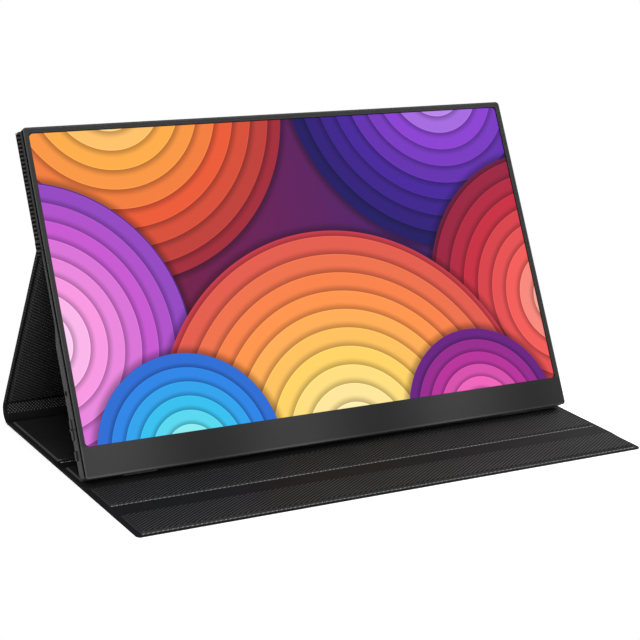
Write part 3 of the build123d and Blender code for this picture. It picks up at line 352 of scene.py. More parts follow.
# Painted shade: the frame's walls behind its face and its outer edge take a black matt shader,
# apart from the foot.
dark = tree.nodes.new("ShaderNodeBsdfDiffuse")
dark.inputs["Color"].default_value = PAINTED_SHADE_BLACK
painted_shade_mix = tree.nodes.new("ShaderNodeMixShader")
shade_down_walls = shading.ramp(behind, PAINTED_SHADE_DEPTH, PAINTED_SHADE_DEPTH + 0.0002)
shade_at_edge = shading.ramp(edge, PAINTED_SHADE_EDGE_WIDTH + 0.0001, PAINTED_SHADE_EDGE_WIDTH - 0.0001)
black = shading.math("MAXIMUM", shade_down_walls, shade_at_edge)
black = shading.math("MULTIPLY", black, shading.ramp(u, *SHADE_FOOT_FADE))
tree.links.new(black, painted_shade_mix.inputs["Fac"])
tree.links.new(face.outputs[0], painted_shade_mix.inputs[1])
tree.links.new(dark.outputs[0], painted_shade_mix.inputs[2])
tree.links.new(painted_shade_mix.outputs[0], tree.nodes["Material Output"].inputs["Surface"])
finish_nodes(frame_grey, "front_frame")


# The sockets' shells, the screws, the magnets and the screen's tray are plated steel. The plating
# is drawn along X, so its fine lines are noise stretched that way.
PLATING_SCALE = (60.0, 1400.0, 1400.0)
PLATING_RELIEF = 0.00001
GLOSSIER_BY = 0.08
DULLER_BY = 0.12


def plated(name, colour, roughness):
    """Plated metal. Noise, drawn out along X, varies its gloss and gives it a shallow grain."""
    material = bpy.data.materials.new(name)
    tree, shader, _ = shader_of(material, "ShaderNodeBsdfPrincipled")
    shader.inputs["Metallic"].default_value = 1.0
    shader.inputs["Base Color"].default_value = (*colour, 1)
    shading = Shading(tree)
    place = tree.nodes.new("ShaderNodeTexCoord").outputs["Object"]
    drawn = tree.nodes.new("ShaderNodeMapping")
    drawn.inputs["Scale"].default_value = PLATING_SCALE
    tree.links.new(place, drawn.inputs["Vector"])
    lines = shading.noise(drawn.outputs[0], 1.0)
    glossier, duller = roughness - GLOSSIER_BY, roughness + DULLER_BY
    gloss = shading.ramp(lines, 0.0, 1.0, glossier, duller, smooth=False)
    tree.links.new(gloss, shader.inputs["Roughness"])
    shading.relief(shader, lines, PLATING_RELIEF)
    return material


finish_nodes(
    plated("socket_plating", (0.55, 0.55, 0.56), 0.3),
    "usb_c_port_1",
    "usb_c_port_2",
    "mini_hdmi_port",
)
finish_nodes(plated("dark_screws", (0.12, 0.12, 0.13), 0.35), "board_screws")
finish_nodes(plated("nickel", (0.66, 0.64, 0.6), 0.28), "holding_magnets")
finish_nodes(plated("tray_steel", (0.5, 0.5, 0.51), 0.4), "lcd_tray")


# The screen is one sheet of glass that shows a lit picture inside a black surround. The picture
# is a made-up one of fans of coloured rings, each ring laid over the next with a soft shadow.
ACTIVE_HALF = 0.17182
ACTIVE_LOW = 0.01900
ACTIVE_HIGH = 0.21232
ACTIVE_CORNER = 0.0027
PICTURE_LEVEL = 1.0
FAN_SHADOW = 0.45
SHADOW_REACH = 0.006
RING_SHADE = 0.55
SHADE_RUN = 0.42
CREST_START = 0.93
CREST_LIGHT = 1.18
HAZE_SCALE = 4000.0
HAZE_RELIEF = 0.000004
GROUND = ((0.19, 0.010, 0.05, 1), (0.045, 0.012, 0.17, 1))
GROUND_HALF = 0.17
FANS = (
    ((-0.118, 0.236), 0.122, 0.0125, ("#ffe494", "#ffac48", "#ec5a34", "#a42a38")),
    ((0.124, 0.232), 0.116, 0.0118, ("#cf9cf8", "#8a3fd2", "#46229c", "#1f1464")),
    ((-0.190, 0.083), 0.100, 0.0110, ("#ffe2f8", "#f898e2", "#c858d2", "#6e3cb8")),
    ((0.192, 0.074), 0.104, 0.0112, ("#ffc0ac", "#f45c58", "#c82c40", "#7c163e")),
    ((0.012, -0.002), 0.138, 0.0122, ("#fff6c4", "#ffd868", "#ff8c48", "#d8404c")),
    ((-0.104, 0.006), 0.062, 0.0088, ("#b0fff0", "#38d0f0", "#2a8cec", "#2c4cc0")),
    ((0.110, 0.002), 0.058, 0.0084, ("#ffc0ea", "#f064bc", "#b8309c", "#6a1e82")),
)


def linear(text):
    """A web colour's red, green and blue as the linear numbers that the shader takes."""
    parts = [int(text[i : i + 2], 16) / 255 for i in (1, 3, 5)]
    return tuple(c / 12.92 if c <= 0.04045 else ((c + 0.055) / 1.055) ** 2.4 for c in parts)


def stops(shading, value, colours):
    """A colour ramp of web colours, spread evenly."""
    made = shading.tree.nodes.new("ShaderNodeValToRGB")
    points = made.color_ramp.elements
    while len(points) < len(colours):
        points.new(0.5)
    for i, colour in enumerate(colours):
        points[i].position = i / (len(colours) - 1)
        points[i].color = (*linear(colour), 1)
    shading.put(made.inputs["Fac"], value)
    return made.outputs["Color"]


def hypotenuse(shading, a, b):
    """The root of the sum of two squares."""
    squares = shading.math("MULTIPLY_ADD", a, a, shading.math("MULTIPLY", b, b))
    return shading.math("SQRT", squares)


def picture(shading, x, u):
    """The picture at a place on the screen. In each fan, the distance from its centre over the
    rings' width counts the ring, which picks the colour, and what is left over shades it."""
    math_of = shading.math
    colour = shading.mix(shading.ramp(x, -GROUND_HALF, GROUND_HALF), *GROUND)
    for (cx, cu), reach, ring, colours in FANS:
        far = hypotenuse(shading, math_of("SUBTRACT", x, cx), math_of("SUBTRACT", u, cu))
        shadow = shading.ramp(far, reach, reach + SHADOW_REACH, FAN_SHADOW, 1.0)
        colour = shading.shade(colour, shadow)
        count = math_of("DIVIDE", far, ring)
        rest = math_of("FRACT", count)
        last = math.ceil(reach / ring) - 1.0
        tint = stops(shading, math_of("DIVIDE", math_of("FLOOR", count), last), colours)
        depth = shading.ramp(rest, 0.0, SHADE_RUN, RING_SHADE, 1.0)
        crest = shading.ramp(rest, CREST_START, 1.0, 1.0, CREST_LIGHT)
        tint = shading.shade(tint, math_of("MULTIPLY", depth, crest))
        inside = shading.ramp(far, reach, reach - 0.0003)
        colour = shading.mix(inside, colour, tint)
    return colour


lit_glass = bpy.data.materials.new("lit_glass")
tree, glass, _ = shader_of(lit_glass, "ShaderNodeBsdfPrincipled")
shading = Shading(tree)
screen_x, screen_u, _ = screen_axes(tree)
past = []
for axis, middle, half in (
    (screen_x, 0.0, ACTIVE_HALF),
    (screen_u, (ACTIVE_LOW + ACTIVE_HIGH) / 2, (ACTIVE_HIGH - ACTIVE_LOW) / 2),
):
    beyond = shading.math("ABSOLUTE", shading.math("SUBTRACT", axis, middle))
    beyond = shading.math("SUBTRACT", beyond, half - ACTIVE_CORNER)
    past.append(shading.math("MAXIMUM", beyond, 0.0))
lit = shading.ramp(hypotenuse(shading, *past), ACTIVE_CORNER, ACTIVE_CORNER - 0.0002)
shown_colour = shading.mix(lit, (0, 0, 0, 1), picture(shading, screen_x, screen_u))
glass.inputs["Base Color"].default_value = (0.004, 0.004, 0.005, 1)
glass.inputs["Roughness"].default_value = 0.36
glass.inputs["Specular IOR Level"].default_value = 0.12
tree.links.new(shown_colour, glass.inputs["Emission Color"])
glass.inputs["Emission Strength"].default_value = PICTURE_LEVEL
place = tree.nodes.new("ShaderNodeTexCoord").outputs["Object"]
shading.relief(glass, shading.noise(place, HAZE_SCALE), HAZE_RELIEF)
finish_nodes(lit_glass, "lcd_glass")


# The cover's stiff panels are boards wrapped in a sheet of black artificial leather. Each is one
# padded skin, pressed down in a border along its free edges, with a weave of ribs embossed on its
# raised part. On the leg the ribs run on over the border.
HALF_COVER = 0.17775
SHEET = 0.0016
PANEL = 0.0025
BORDER = 0.0033
EDGE_ROLL = 0.0007
UNDER_ROLL = 0.6
PILLOW_RISE = 0.0011
PILLOW_CROWN = 0.0002
CROWN_RUN = 0.02
WEAVE_BEFORE = 0.0004
WEAVE_FADE = 0.0016
LEG_SLOPE = math.radians(62.75931)
LEG_FOOT_Y = 0.1114061
LEG_PANEL = (0.015756, 0.139907)
DESK_PANEL = (0.01925, 0.09565)
FLAP_B = (-0.01805, 0.00635)
FLAP_C = (-0.05985, -0.03165)
FLAP_D = (-0.10565, -0.07565)
FRONT_BORDER = 0.0027
FRONT_CORNER = 0.003
FRONT_THIN = 0.0005
THIN_RUN = 0.008
GRID_STEP = 0.006
EDGE_STEPS = (
    0, 0.00008, 0.0002, 0.0004, 0.0007, 0.0011, 0.002, 0.0028, 0.0033, 0.0036, 0.0039, 0.0042,
    0.0045, 0.005, 0.006, 0.008,
)
SEAM_STEPS = (0, 0.0002, 0.0004, 0.0006, 0.0008, 0.0011, 0.0016, 0.003)
RIB_PITCH = 0.00196
RIB_LEAN = math.radians(32.5)
RIB_FLANK = (0.32, 0.08)
END_RIB_PITCH = 0.0026
END_RIB_REACH = 0.0040
GRAIN_SCALE = 1500.0
GRAIN_SHARE = 0.04
RIB_HEIGHT = 0.0004
TONE_SCALE = 25.0
TONE_SPREAD = 0.12
FILM_ROUGHNESS = 0.64
PILLOW_FOOT_SHADE_GREY = (0.004, 0.004, 0.004, 1)
PILLOW_FOOT_SHADE_OUTER = (0.0010, 0.0016)
PILLOW_FOOT_SHADE_INNER = (0.0030, 0.0024)
WOVEN_FROM_RAISED = (0.6, 1.0)
BORDER_UP_TO_RAISED = (0.0, 0.3)
WALL_HIGHLIGHT_REACH = (0.0070, 0.0050)


def on_desk(x, v, w):
    """A place on the desk: x across, v towards the back, w up."""
    return np.stack((x, v, w), axis=-1)


def on_leg(x, v, w):
    """A place on the leg: v up along it from its foot on the desk, w in from its outer face."""
    y = LEG_FOOT_Y - v * math.cos(LEG_SLOPE) - w * math.sin(LEG_SLOPE)
    z = v * math.sin(LEG_SLOPE) - w * math.cos(LEG_SLOPE)
    return np.stack((x, y, z), axis=-1)


def eased(value):
    """Smooth step: zero up to 0, one from 1, and 3t2 - 2t3 between."""
    t = np.clip(value, 0, 1)
    return t * t * (3 - 2 * t)


def quarter(distance, radius):
    """Height of a rounded edge over its foot, as a share: a quarter circle over the radius."""
    t = np.clip(distance / radius, 0, 1)
    return np.sqrt(1 - (1 - t) ** 2)


def closed_sheet(name, x, v, top, bottom, place, fade=None):
    """One closed skin. Two grids over the same (x, v) places, at the heights top and bottom, are
    joined by a wall round their edge. Its UV map is (x, v) in metres, and fade, which is one where
    none is given, goes in an attribute."""
    rows, columns = x.shape
    points = np.concatenate([place(x, v, top).reshape(-1, 3), place(x, v, bottom).reshape(-1, 3)])
    index = np.arange(rows * columns).reshape(rows, columns)
    upper = np.stack(
        (index[:-1, :-1], index[:-1, 1:], index[1:, 1:], index[1:, :-1]), axis=-1
    ).reshape(-1, 4)
    lower = upper[:, ::-1] + rows * columns
    rim = np.concatenate([index[0, :-1], index[:-1, -1], index[-1, :0:-1], index[:0:-1, 0]])
    after = np.roll(rim, -1)
    wall = np.stack((after, rim, rim + rows * columns, after + rows * columns), axis=-1)
    faces = np.concatenate([upper, lower, wall])
    a, b, c, d = (points[faces[:, i]] for i in range(4))
    volume = (a * np.cross(b, c)).sum() + (a * np.cross(c, d)).sum()
    if volume < 0:
        faces = faces[:, ::-1]
    mesh = bpy.data.meshes.new(name)
    mesh.from_pydata(points.tolist(), [], faces.tolist())
    flat = np.concatenate([np.stack((x, v), axis=-1).reshape(-1, 2)] * 2)
    uv = mesh.uv_layers.new(name="cloth")
    uv.data.foreach_set("uv", flat[faces.reshape(-1)].astype(np.float32).reshape(-1))
    if fade is None:
        fade = np.ones_like(x)
    raised = mesh.attributes.new("raised", "FLOAT", "POINT")
    raised.data.foreach_set("value", np.tile(fade.reshape(-1), 2).astype(np.float32))
    mesh.polygons.foreach_set("use_smooth", [True] * len(mesh.polygons))
    mesh.update()
    made = bpy.data.objects.new(name, mesh)
    bpy.context.collection.objects.link(made)
    return made


def spread(low, high, steps, middle):
    """Places from low to high: the steps in from each end, then even ones of the middle's size."""
    steps = np.asarray(steps)
    first, last = low + steps[-1], high - steps[-1]
    count = max(2, int(round((last - first) / middle)))
    inner = np.linspace(first, last, count + 1)[1:-1]
    return np.concatenate([low + steps, inner, high - steps[::-1]])


def panel_grid(low, high, corner):
    """The (x, v) places of a panel, and each row's half width. With rounded corners in front, the
    half width is drawn in by the corner's radius less the height of its quarter circle."""
    columns = spread(-1, 1, np.array(EDGE_STEPS) / HALF_COVER, GRID_STEP / HALF_COVER)
    rows = spread(low, high, SEAM_STEPS, GRID_STEP)
    if corner:
        rows = np.concatenate([low + np.array(EDGE_STEPS), rows[len(SEAM_STEPS):]])
    rows = np.unique(rows)
    half = np.full_like(rows, HALF_COVER)
    if corner:
        half = half - corner * (1 - quarter(rows - low, corner))
    return columns[None, :] * half[:, None], rows[:, None] * np.ones_like(columns)[None, :], half


def panel_skin(name, ends, place, border_low=0.0, corner=0.0, thin=0.0):
    """A panel's skin. From a free edge the sheet rises over a rolled quarter circle, runs flat to
    the border's end, and rises again by an eased step to the padded part, which crowns a little.
    Only a panel with rounded corners has a free edge in front."""
    low, high = ends
    x, v, half = panel_grid(low, high, corner)
    side = half[:, None] - np.abs(x)
    free = np.minimum(side, v - low) if corner else side
    flat = SHEET - thin * eased((high - v) / THIN_RUN)
    rolled = EDGE_ROLL + (flat - EDGE_ROLL) * quarter(free, EDGE_ROLL)
    inner = np.minimum(side - BORDER, np.minimum(v - low - border_low, high - v))
    lift = eased(inner / PILLOW_RISE)
    top = rolled + lift * (PANEL - flat) + PILLOW_CROWN * eased(inner / CROWN_RUN)
    bottom = EDGE_ROLL * (1 - quarter(free, EDGE_ROLL)) * UNDER_ROLL
    fade = eased((inner + WEAVE_BEFORE) / WEAVE_FADE)
    return closed_sheet(name, x, v, top, bottom, place, fade)


def ribs(shading, x, v, lean, pitch):
    """Ribs at a lean to X: the share of a pitch left over from the distance across them, eased."""
    across = shading.math("MULTIPLY", v, math.cos(lean) / pitch)
    across = shading.math("MULTIPLY_ADD", x, -math.sin(lean) / pitch, across)
    off = shading.math("ABSOLUTE", shading.math("SUBTRACT", shading.math("FRACT", across), 0.5))
    return shading.ramp(off, *RIB_FLANK)


def leather(
    name,
    dark,
    light=None,
    wall_highlight=None,
    border=None,
    lean=RIB_LEAN,
    cross=0.25,
    gloss=0.07,
    ridged=False,
):
    """Black film. Its grain is cells on the cloth's own UV. With a light colour it has ribs, which
    stand in relief and carry that colour on their tops, a painted highlight over the film's dark
    colour, and which the crossing set lowers. With a border grey they end where the raised part
    does, whose wall has their mean grey. With none they run all over, up to a dark line beside the
    ends, painted shade at the pillow's foot, or up to short straight ridges round the ends. The
    wall along the ends takes the wall highlight's grey, a painted highlight."""
    material = bpy.data.materials.new(name)
    tree, shader, _ = shader_of(material, "ShaderNodeBsdfPrincipled")
    shading = Shading(tree)
    math_of = shading.math
    cloth = tree.nodes.new("ShaderNodeUVMap")
    cloth.uv_map = "cloth"
    grain = tree.nodes.new("ShaderNodeTexVoronoi")
    grain.feature = "SMOOTH_F1"
    grain.inputs["Scale"].default_value = GRAIN_SCALE
    tree.links.new(cloth.outputs[0], grain.inputs["Vector"])
    height = math_of("MULTIPLY", grain.outputs["Distance"], GRAIN_SHARE)
    patches = shading.noise(cloth.outputs[0], TONE_SCALE, 5.0)
    tone = shading.ramp(patches, 0.3, 0.7, 1 - TONE_SPREAD, 1 + TONE_SPREAD, smooth=False)
    colour = (*dark, 1)
    attribute = tree.nodes.new("ShaderNodeAttribute")
    attribute.attribute_name = "raised"
    raised = attribute.outputs["Fac"]
    split = tree.nodes.new("ShaderNodeSeparateXYZ")
    tree.links.new(cloth.outputs[0], split.inputs[0])
    x, v = split.outputs["X"], split.outputs["Y"]
    side = math_of("SUBTRACT", HALF_COVER, math_of("ABSOLUTE", x))
    if light:
        second = ribs(shading, x, v, -lean, RIB_PITCH)
        lowered = shading.ramp(second, 0, 1, 1 - cross, 1, smooth=False)
        weave = math_of("MULTIPLY", ribs(shading, x, v, lean, RIB_PITCH), lowered)
        if ridged:
            straight = ribs(shading, x, v, 0.0, END_RIB_PITCH)
            inward = shading.ramp(side, END_RIB_REACH, END_RIB_REACH + 0.0005)
            weave = math_of("MULTIPLY", weave, inward)
            weave = math_of("MULTIPLY_ADD", straight, math_of("SUBTRACT", 1.0, inward), weave)
        elif border:
            woven = shading.ramp(raised, *WOVEN_FROM_RAISED)
            weave = math_of("MULTIPLY", weave, woven)
        else:
            # Painted shade: a dark line along the pillow's foot beside the ends.
            line = shading.ramp(side, *PILLOW_FOOT_SHADE_OUTER)
            line = math_of("MULTIPLY", line, shading.ramp(side, *PILLOW_FOOT_SHADE_INNER))
            weave = math_of("MULTIPLY", weave, math_of("SUBTRACT", 1.0, line))
            colour = shading.mix(line, colour, PILLOW_FOOT_SHADE_GREY)
        height = math_of("ADD", height, weave)
        # Painted highlight: the rib tops take the light colour over the film's dark one.
        colour = shading.mix(weave, colour, (*light, 1))
    if border:
        rise = (*[0.6 * a + 0.4 * b for a, b in zip(dark, light)], 1)
        colour = shading.mix(woven, rise, colour)
        off_border = shading.ramp(raised, *BORDER_UP_TO_RAISED)
        colour = shading.mix(off_border, (*border, 1), colour)
    # Painted highlight: a lighter grey on the pillow's wall along the ends.
    if wall_highlight:
        foot = math_of("MULTIPLY", raised, math_of("SUBTRACT", 1.0, raised))
        foot = shading.ramp(foot, 0.02, 0.2)
        foot = math_of("MULTIPLY", foot, shading.ramp(side, *WALL_HIGHLIGHT_REACH))
        colour = shading.mix(foot, colour, (*wall_highlight, 1))
    tree.links.new(shading.shade(colour, tone), shader.inputs["Base Color"])
    shader.inputs["Roughness"].default_value = FILM_ROUGHNESS
    shader.inputs["Specular IOR Level"].default_value = gloss
    shading.relief(shader, height, RIB_HEIGHT)
    return material


def wrap_board(skin, film, body, cad):
    """Put the film on a panel's skin, which rides on its body and stands for its CAD cover."""
    skin.data.materials.append(film)
    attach(skin, body)
    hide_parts(cad)


leg_panel_skin = panel_skin("leg_panel_skin", LEG_PANEL, on_leg)
desk_panel_skin = panel_skin("desk_panel_skin", DESK_PANEL, on_desk)
flap_b_skin = panel_skin("flap_b_skin", FLAP_B, on_desk)
flap_c_skin = panel_skin("flap_c_skin", FLAP_C, on_desk)
flap_d_skin = panel_skin("flap_d_skin", FLAP_D, on_desk, FRONT_BORDER, FRONT_CORNER, FRONT_THIN)
# Each film's light colour is a painted highlight on its rib tops, and a wall grey is a painted
# highlight on the pillow's wall along the ends.
leg_film = leather(
    "leg_film", (0.011, 0.011, 0.0113), (0.062, 0.062, 0.063), lean=-RIB_LEAN, cross=0.55
)
desk_film = leather(
    "desk_film",
    dark=(0.015, 0.015, 0.0153),
    light=(0.026, 0.026, 0.0263),
    wall_highlight=(0.075, 0.075, 0.076),
    border=(0.014, 0.014, 0.0143),
    lean=-RIB_LEAN,
    cross=0.5,
)
flap_film = leather(
    "flap_film",
    dark=(0.004, 0.004, 0.004),
    light=(0.068, 0.068, 0.0685),
    wall_highlight=(0.036, 0.036, 0.0365),
    border=(0.009, 0.009, 0.0092),
    cross=0.35,
    gloss=0.045,
)
wrap_board(leg_panel_skin, leg_film, "leg", "leg_panel_cover")
wrap_board(desk_panel_skin, desk_film, "base", "desk_panel_cover")
wrap_board(flap_b_skin, desk_film, "flap_b", "flap_b_cover")
wrap_board(flap_c_skin, flap_film, "flap_c", "flap_c_cover")
wrap_board(flap_d_skin, flap_film, "flap_d", "flap_d_cover")


# The upper panel is thicker and carries the magnets that hold it to the housing, so its edges are
# full and rounded. The same leather is wrapped round them, ribbed with short ridges at its ends.
UPPER_LOW = 0.1458
UPPER_HIGH = 0.21589
UPPER_OUTER = 0.00935
UPPER_THICK = 0.0031
UPPER_ROLL = 0.0014
UPPER_SIDE = 0.0005
UPPER_CORNER = 0.0026
UPPER_EDGE = 0.0002
ROUND_STEPS = (0, 0.00005, 0.00015, 0.0003, 0.0005, 0.0008, 0.0012, 0.0017, 0.0022, 0.003, 0.005)


def behind_screen(x, v, w):
    """A place behind the screen: v up it, w in from the upper panel's outer face."""
    depth = UPPER_OUTER - w
    y = FRONT_EDGE[1] + v * SLOPE_SINE + depth * SLOPE_COSINE
    z = FRONT_EDGE[2] + v * SLOPE_COSINE - depth * SLOPE_SINE
    return np.stack((x, y, z), axis=-1)


columns = spread(-1, 1, np.array(ROUND_STEPS) / HALF_COVER, GRID_STEP / HALF_COVER)
rows = spread(UPPER_LOW, UPPER_HIGH, ROUND_STEPS, GRID_STEP)
half = HALF_COVER - UPPER_SIDE - UPPER_CORNER * (1 - quarter(UPPER_HIGH - rows, UPPER_CORNER))
x = columns[None, :] * half[:, None]
v = rows[:, None] * np.ones_like(x)
free = np.minimum(half[:, None] - np.abs(x), np.minimum(v - UPPER_LOW, UPPER_HIGH - v))
rise = quarter(free, UPPER_ROLL) * (UPPER_THICK / 2 - UPPER_EDGE) + UPPER_EDGE
upper_panel_skin = closed_sheet(
    "upper_panel_skin", x, v, UPPER_THICK / 2 + rise, UPPER_THICK / 2 - rise, behind_screen
)
# The rib tops' light colour is a painted highlight.
edge_film = leather(
    "edge_film",
    dark=(0.002, 0.002, 0.002),
    light=(0.058, 0.058, 0.0585),
    lean=-RIB_LEAN,
    cross=0.55,
    ridged=True,
)
wrap_board(upper_panel_skin, edge_film, "display", "upper_panel_cover")


# Between the panels the cover is one thin strip of the same leather, which folds: three flat ones
# on the desk, the round spine behind, and the top fold where the leg meets the upper panel.
GROOVE_1 = 0.0129
GROOVE_2 = 0.0136
GROOVE_3 = 0.0158
WOVEN_REACH = 0.0080
WOVEN_FROM = -0.10
WOVEN_RUN = 0.15
WOVEN_FADE = 0.0008
STRIP_STEP = 0.008
GROOVE_2_BEND = -0.02965
MID_SHEET = SHEET / 2
GROOVE_1_FOLD = {"start": (0, DESK_PANEL[0], MID_SHEET), "end": (0, FLAP_B[1], MID_SHEET)}
GROOVE_2_FOLD = {"start": (0, GROOVE_2_BEND, MID_SHEET), "end": (0, FLAP_C[1], MID_SHEET)}
GROOVE_3_FOLD = {"start": (0, FLAP_C[0], MID_SHEET), "end": (0, FLAP_D[1], MID_SHEET)}
SPINE_Y = 0.09665
SPINE_R = 0.009
SPINE_FLAT = 0.001
SPINE_TURN = math.pi - LEG_SLOPE
SPINE_LENGTH = SPINE_FLAT + SPINE_R * SPINE_TURN + SPINE_FLAT
SPINE_FOLD = {"start": (0, SPINE_Y, 0.0), "end": (0, 0.1046, 0.0132)}
TOP_Y = 0.0457645
TOP_Z = 0.1275020
TOP_START = math.acos(-SLOPE_COSINE)
TOP_TURN = math.radians(270) - LEG_SLOPE - TOP_START
TOP_EASE = 0.0004
TOP_ARC = 0.0012
TOP_LEG = 0.0035 - TOP_EASE * math.tan(TOP_TURN / 2)
TOP_BACK = 0.0049 - TOP_EASE * math.tan(TOP_TURN / 2)
TOP_LENGTH = TOP_LEG + TOP_ARC + TOP_BACK
TOP_OUT = TOP_EASE / math.cos(TOP_TURN / 2)
TOP_FOLD = {"start": (0, TOP_Y, 0.1265), "end": (0, TOP_Y, 0.1285)}


def groove(start):
    """Place function of a flat strip on the desk, from its start toward the back."""

    def place(x, v, w):
        return on_desk(x, start + v, w)

    return place


def on_spine(x, v, w):
    """A place on the spine: flat on the desk, round the spine's circle, then flat up the leg. v
    runs along the outer face, and w goes in from it."""
    angle = np.clip((v - SPINE_FLAT) / SPINE_R, 0, SPINE_TURN)
    before = np.minimum(v - SPINE_FLAT, 0)
    after = np.maximum(v - SPINE_FLAT - SPINE_R * SPINE_TURN, 0)
    radius = SPINE_R - w
    y = SPINE_Y + radius * np.sin(angle) + before - after * math.cos(LEG_SLOPE)
    z = SPINE_R - radius * np.cos(angle) + after * math.sin(LEG_SLOPE)
    return np.stack((x, y, z), axis=-1)


def on_top_fold(x, v, w):
    """A place on the top fold: up the leg, round a small circle outside the corner, up the screen.
    The depth w adds to the circle's radius, because the fold is hollow on its outer face."""
    facing = TOP_START + TOP_TURN * (1 - np.clip((v - TOP_LEG) / TOP_ARC, 0, 1))
    down_leg = np.maximum(TOP_LEG - v, 0)
    up_back = np.maximum(v - TOP_LEG - TOP_ARC, 0)
    radius = TOP_EASE + w
    middle = TOP_START + TOP_TURN / 2
    y = TOP_Y - TOP_OUT * math.cos(middle) + radius * np.cos(facing)
    z = TOP_Z - TOP_OUT * math.sin(middle) + radius * np.sin(facing)
    y = y + down_leg * math.cos(LEG_SLOPE) + up_back * SLOPE_SINE
    z = z - down_leg * math.sin(LEG_SLOPE) + up_back * SLOPE_COSINE
    return np.stack((x, y, z), axis=-1)


def strip_skin(name, length, place, step=0.0008, woven=0.0):
    """A strip of the sheet's thickness along a place function, with its two ends across rolled. Its
    weave, if it has any, reaches in from its start, further and further toward the right."""
    columns = spread(-HALF_COVER, HALF_COVER, EDGE_STEPS[:6], STRIP_STEP)
    rows = np.linspace(0, length, max(4, int(round(length / step))) + 1)
    x, v = np.meshgrid(columns, rows)
    free = HALF_COVER - np.abs(x)
    top = EDGE_ROLL + (SHEET - EDGE_ROLL) * quarter(free, EDGE_ROLL)
    bottom = EDGE_ROLL * (1 - quarter(free, EDGE_ROLL)) * UNDER_ROLL
    reach = woven * np.clip((x - WOVEN_FROM) / WOVEN_RUN, 0, 1)
    return closed_sheet(name, x, v, top, bottom, place, eased((reach - v) / WOVEN_FADE))


groove_1_skin = strip_skin("groove_1_skin", GROOVE_1, groove(FLAP_B[1]))
groove_2_skin = strip_skin("groove_2_skin", GROOVE_2, groove(FLAP_C[1]), 0.0004, WOVEN_REACH)
groove_3_skin = strip_skin("groove_3_skin", GROOVE_3, groove(FLAP_D[1]))
spine_skin = strip_skin("spine_skin", SPINE_LENGTH, on_spine, 0.0006)
top_fold_skin = strip_skin("top_fold_skin", TOP_LENGTH, on_top_fold, 0.0002)
smooth_film = leather("smooth_film", (0.009, 0.009, 0.0093), gloss=0.05)
# The rib tops' light colour is a painted highlight.
foot_film = leather(
    "foot_film",
    dark=(0.001, 0.001, 0.001),
    light=(0.075, 0.075, 0.0755),
    border=(0.015, 0.015, 0.0153),
    gloss=0.045,
)
for skin, film, first, second, cad, fold, length in (
    (groove_1_skin, smooth_film, "base", "flap_b", "fold_strip_1", GROOVE_1_FOLD, GROOVE_1),
    (groove_2_skin, foot_film, "flap_b", "flap_c", "fold_strip_2", GROOVE_2_FOLD, GROOVE_2),
    (groove_3_skin, smooth_film, "flap_c", "flap_d", "fold_strip_3", GROOVE_3_FOLD, GROOVE_3),
    (spine_skin, smooth_film, "base", "leg", "spine_strip", SPINE_FOLD, SPINE_LENGTH),
    (top_fold_skin, edge_film, "leg", "display", "top_fold_strip", TOP_FOLD, TOP_LENGTH),
):
    skin.data.materials.append(film)
    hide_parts(cad)
    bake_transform(skin)


# Grey thread runs along two grooves and the front border in a lock stitch: a long float, and the
# small knot between two floats. Each float leans a little across the seam.
STITCH_PITCH = 0.0030
STITCH_HALF = 0.1744
FLOAT_LENGTH = 0.0021
FLOAT_GAP = 0.0002
KNOT_LENGTH = 0.0005
THREAD_R = 0.00025
KNOT_R = 0.00027
FLOAT_SLANT = 0.0004
TWIST_SHARE = 0.12
ARCH = 0.9
SINK = 0.35
GROOVE_1_SEAM = 0.0160
GROOVE_3_SEAM = -0.0609
FRONT_SEAM = -0.1040
SEAM_HEIGHT = 0.00164
FRONT_SEAM_HEIGHT = 0.00114


def ringed(name, points, turned):
    """Many small closed pieces in one mesh. Each is a stack of rings, points[piece, ring, side],
    with a wall of quads between one ring and the next and a flat face over each end. The rings
    run the other way round when turned."""
    count, rows, sides = points.shape[:3]
    first = np.arange(count)[:, None, None] * rows * sides
    row = np.arange(rows - 1)[None, :, None] * sides
    side = np.arange(sides)[None, None, :]
    after = (side + 1) % sides
    corners = [first + row + side, first + row + after, first + row + sides + after]
    corners.append(first + row + sides + side)
    if not turned:
        corners = [corners[i] for i in (0, 3, 2, 1)]
    quads = np.stack(np.broadcast_arrays(*corners), axis=-1).reshape(-1, 4)
    low = first.reshape(-1, 1) + np.arange(sides)
    high = low + (rows - 1) * sides
    ends = [high, low[:, ::-1]] if turned else [low, high[:, ::-1]]
    mesh = bpy.data.meshes.new(name)
    faces = quads.tolist() + ends[0].tolist() + ends[1].tolist()
    mesh.from_pydata(points.reshape(-1, 3).tolist(), [], faces)
    mesh.polygons.foreach_set("use_smooth", [True] * len(mesh.polygons))
    made = bpy.data.objects.new(name, mesh)
    bpy.context.collection.objects.link(made)
    return made


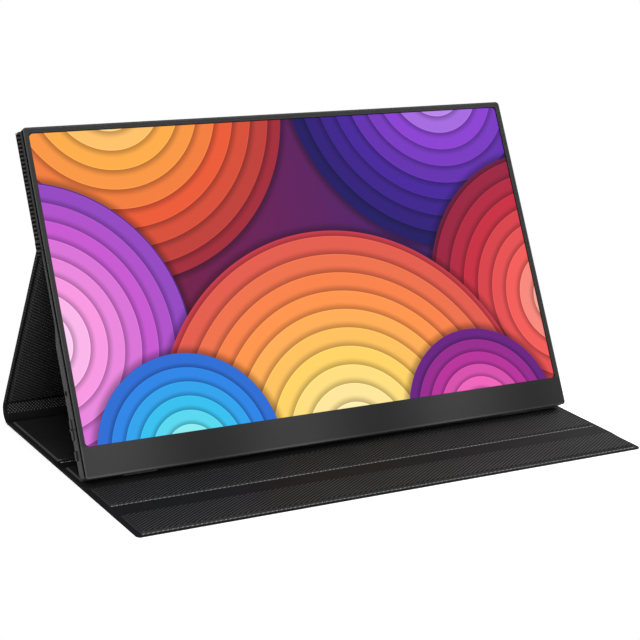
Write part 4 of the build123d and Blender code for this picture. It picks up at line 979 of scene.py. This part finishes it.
def threads(name, line, height, scale=1.0):
    """Closed spindles along X. Each is a circle carried along its length, whose radius follows the
    root of a sine, and which arches up out of the leather and leans a little across the seam."""
    starts = np.arange(-STITCH_HALF, STITCH_HALF - scale * FLOAT_LENGTH, scale * STITCH_PITCH)
    along = np.linspace(0.04, 0.96, 8)
    around = np.linspace(0, 2 * math.pi, 7)[:-1]
    places = []
    for offset, length, radius, slant in (
        (0.0, FLOAT_LENGTH, THREAD_R, FLOAT_SLANT),
        (FLOAT_LENGTH + FLOAT_GAP, KNOT_LENGTH, KNOT_R, 0.0),
    ):
        s = along[None, :, None]
        r = radius * np.sqrt(np.sin(math.pi * s)) * (1 + TWIST_SHARE * np.sin(6 * math.pi * s))
        x = starts[:, None, None] + scale * (offset + length * s) + 0 * around
        y = line + slant * (s - 0.5) + r * np.cos(around)
        z = height + radius * (ARCH * np.sin(math.pi * s) - SINK) + r * np.sin(around)
        places.append(np.stack(np.broadcast_arrays(x, y, z), axis=-1))
    return ringed(name, np.concatenate(places), turned=False)


groove_1_stitches = threads("groove_1_stitches", GROOVE_1_SEAM, SEAM_HEIGHT, 1.55)
groove_3_stitches = threads("groove_3_stitches", GROOVE_3_SEAM, SEAM_HEIGHT)
front_stitches = threads("front_stitches", FRONT_SEAM, FRONT_SEAM_HEIGHT)
grey_thread = moulded("grey_thread", (0.30, 0.30, 0.30), 0.7, 3000.0, 0.00008)
for stitches in (groove_1_stitches, groove_3_stitches, front_stitches):
    stitches.data.materials.append(grey_thread)
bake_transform(groove_1_stitches)
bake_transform(groove_3_stitches)
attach(front_stitches, "flap_d")


# The spine has rows of small raised dots pressed into its inner face, where the hand grips the
# closed cover. They are staggered from row to row, and a lighter grey than the film.
DOT_ROWS = np.linspace(0.0112, 0.0180, 6)
DOT_PITCH = 0.0022
DOT_R = 0.00052
DOT_HEIGHT = 0.00022
DOT_HALF = 0.1745
DOT_RINGS = np.array((1.0, 0.85, 0.5))
DOT_RISES = np.array((-0.1, 0.55, 0.95))

turns = np.linspace(0, 2 * math.pi, 9)[:-1]
row_x = np.arange(-DOT_HALF, DOT_HALF, DOT_PITCH)
dot_x = np.concatenate([row_x + (i % 2) * DOT_PITCH / 2 for i in range(len(DOT_ROWS))])
dot_v = np.repeat(DOT_ROWS, len(row_x))
x = dot_x[:, None, None] + DOT_R * DOT_RINGS[None, :, None] * np.cos(turns)
v = dot_v[:, None, None] + DOT_R * DOT_RINGS[None, :, None] * np.sin(turns)
w = SHEET + DOT_HEIGHT * DOT_RISES[None, :, None] + 0 * x
spine_dots = ringed("spine_dots", on_spine(x, v, w), turned=True)
spine_dots.data.materials.append(moulded("dot_grey", (0.11, 0.11, 0.112), 0.5, 1500.0, 0.00002))
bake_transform(spine_dots)
